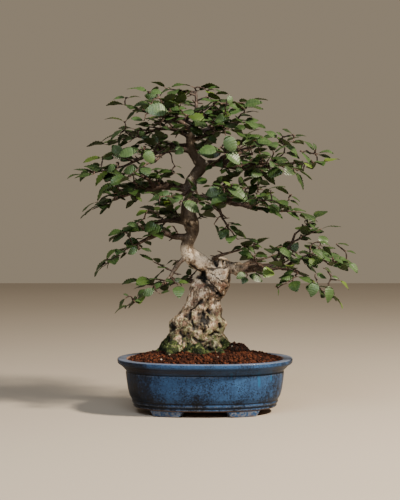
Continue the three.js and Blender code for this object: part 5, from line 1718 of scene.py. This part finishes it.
# Crumbs strewn evenly over an oval and lifted towards a dome, most of them dark
def makeClump():
    rng = np.random.default_rng(21)
    angle, reach = rng.uniform(0, fullTurn, clump["count"]), np.sqrt(rng.uniform(0, 1, clump["count"]))
    x = clump["x"] + clump["halfWidth"] * reach * np.cos(angle)
    y = clump["y"] + clump["halfDepth"] * reach * np.sin(angle)
    dome = clump["height"] * np.sqrt(np.clip(1 - reach**2.4, 0, 1)) * (0.75 + 0.25 * np.cos(2 * angle + 1))
    lift = rng.uniform(0.25, 1, len(x)) ** 0.4
    z = moundHeight(soilShare(x, y)) - 1 + dome * lift
    isRed, red, dark = rng.uniform(size=len(x)), rng.uniform(0.2, 0.7, len(x)), rng.uniform(0.0, 0.16, len(x))
    tone = np.where(isRed < clump["red"], red, dark)
    tone[rng.uniform(size=len(x)) < clump["white"]] = 1.0
    return grainMesh("dark_clump", np.stack([x, y, z], -1), rng.uniform(1.0, 2.2, len(x)), tone, 5)


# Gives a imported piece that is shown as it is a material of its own
def assignMaterial(name, material):
    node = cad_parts[name]
    node.data.materials.clear()
    node.data.materials.append(material)


# Tints of the grains by tone: near black, for dark crumbs and for the bed's painted shade between grains, then
# red-brown clay from dull to bright, and pale pumice
grainTints = [
    (0.0, (0.002, 0.0015, 0.001)), (0.10, (0.005, 0.003, 0.002)), (0.16, (0.006, 0.0019, 0.001)),
    (0.50, (0.019, 0.0047, 0.0021)), (0.92, (0.068, 0.020, 0.0082)), (0.97, (0.40, 0.36, 0.29)),
]
bark = barkMaterial()
addPiece(makeTrunk(), bark, "bark", "trunk_and_limbs")
print("trunk made")
addPiece(makeLimbs(), bark, "bark")
addPiece(makeTwigs(), bark, "bark")
print("limbs and twigs made")
addPiece(makeLeaves(), leafMaterial(), "leaf", *sprayNodes)
print("leaves made")
addPiece(makePot(), glazeMaterial(), "glaze", "pot")
print("pot made")
grain = grainMaterial("soil_grain", grainTints)
addPiece(makeSoilBed(), grain, "soil", "soil")
addPiece(makeGrains(), grain, "soil")
addPiece(makeClump(), grain, "soil")
for name in ("drain_net_left", "drain_net_right"):
    assignMaterial(name, netMaterial())
print("soil and nets made")

# Stage: a pale floor, a warm key light high at the right, a broad cool one overhead, a weak one at the left
studio = {
    "floor": {"x": (-7, 7), "y": (-9, 3)}, "aimHeight": 0.22, "world": (0.92, 0.75, 0.54),
    "worldStrength": 0.30,
    "lights": {
        "key": {"place": (1.25, -0.9, 1.6), "size": 0.3, "energy": 160, "color": (1.0, 0.87, 0.69)},
        "overhead": {"place": (-0.4, -1.5, 1.7), "size": 1.5, "energy": 42, "color": (0.84, 0.92, 1.0)},
        "left": {"place": (-1.6, -1.4, 0.6), "size": 1.0, "energy": 1, "color": (0.92, 0.96, 1.0)},
    },
}


# The floor, the world's even light and the lamps, all of which look at the middle of the tree
def makeStage():
    (left, right), (near, far) = studio["floor"]["x"], studio["floor"]["y"]
    floor = bpy.data.meshes.new("studio_floor")
    corners = [(left, near, 0), (right, near, 0), (right, far, 0), (left, far, 0)]
    floor.from_pydata(corners, [], [(0, 1, 2, 3)])
    floor.materials.append(floorMaterial())
    piece = addObject("studio_floor", floor)
    world = bpy.data.worlds.new("studio")
    world.use_nodes = True
    background = world.node_tree.nodes["Background"]
    background.inputs["Color"].default_value = (*studio["world"], 1)
    background.inputs["Strength"].default_value = studio["worldStrength"]
    bpy.context.scene.world = world
    aim = Vector(potMiddle) + Vector((0, 0, studio["aimHeight"]))
    for name, look in studio["lights"].items():
        light = bpy.data.lights.new(name, "AREA")
        light.shape = "DISK"
        light.size, light.energy, light.color = look["size"], look["energy"], look["color"]
        lamp = addObject(name, light)
        lamp.location = Vector(potMiddle) + Vector(look["place"])
        lamp.rotation_euler = (aim - lamp.location).to_track_quat("-Z", "Y").to_euler()


# The photograph's camera; its focal length in pixels is to the long side as the lens is to the sensor
def makeCamera():
    camera = bpy.data.cameras.new("photo_camera")
    camera.sensor_width = 36
    camera.lens = photoCamera["focal"] * 36 / photoCamera["longSide"]
    camera.clip_end = 20
    viewer = addObject("photo_camera", camera)
    viewer.location = Vector(potMiddle) + Vector(photoCamera["place"]) * 0.001
    viewer.rotation_euler = (math.radians(90 - photoCamera["pitch"]), 0, 0)
    bpy.context.scene.camera = viewer


makeStage()
makeCamera()
bpy.context.view_layer.update()
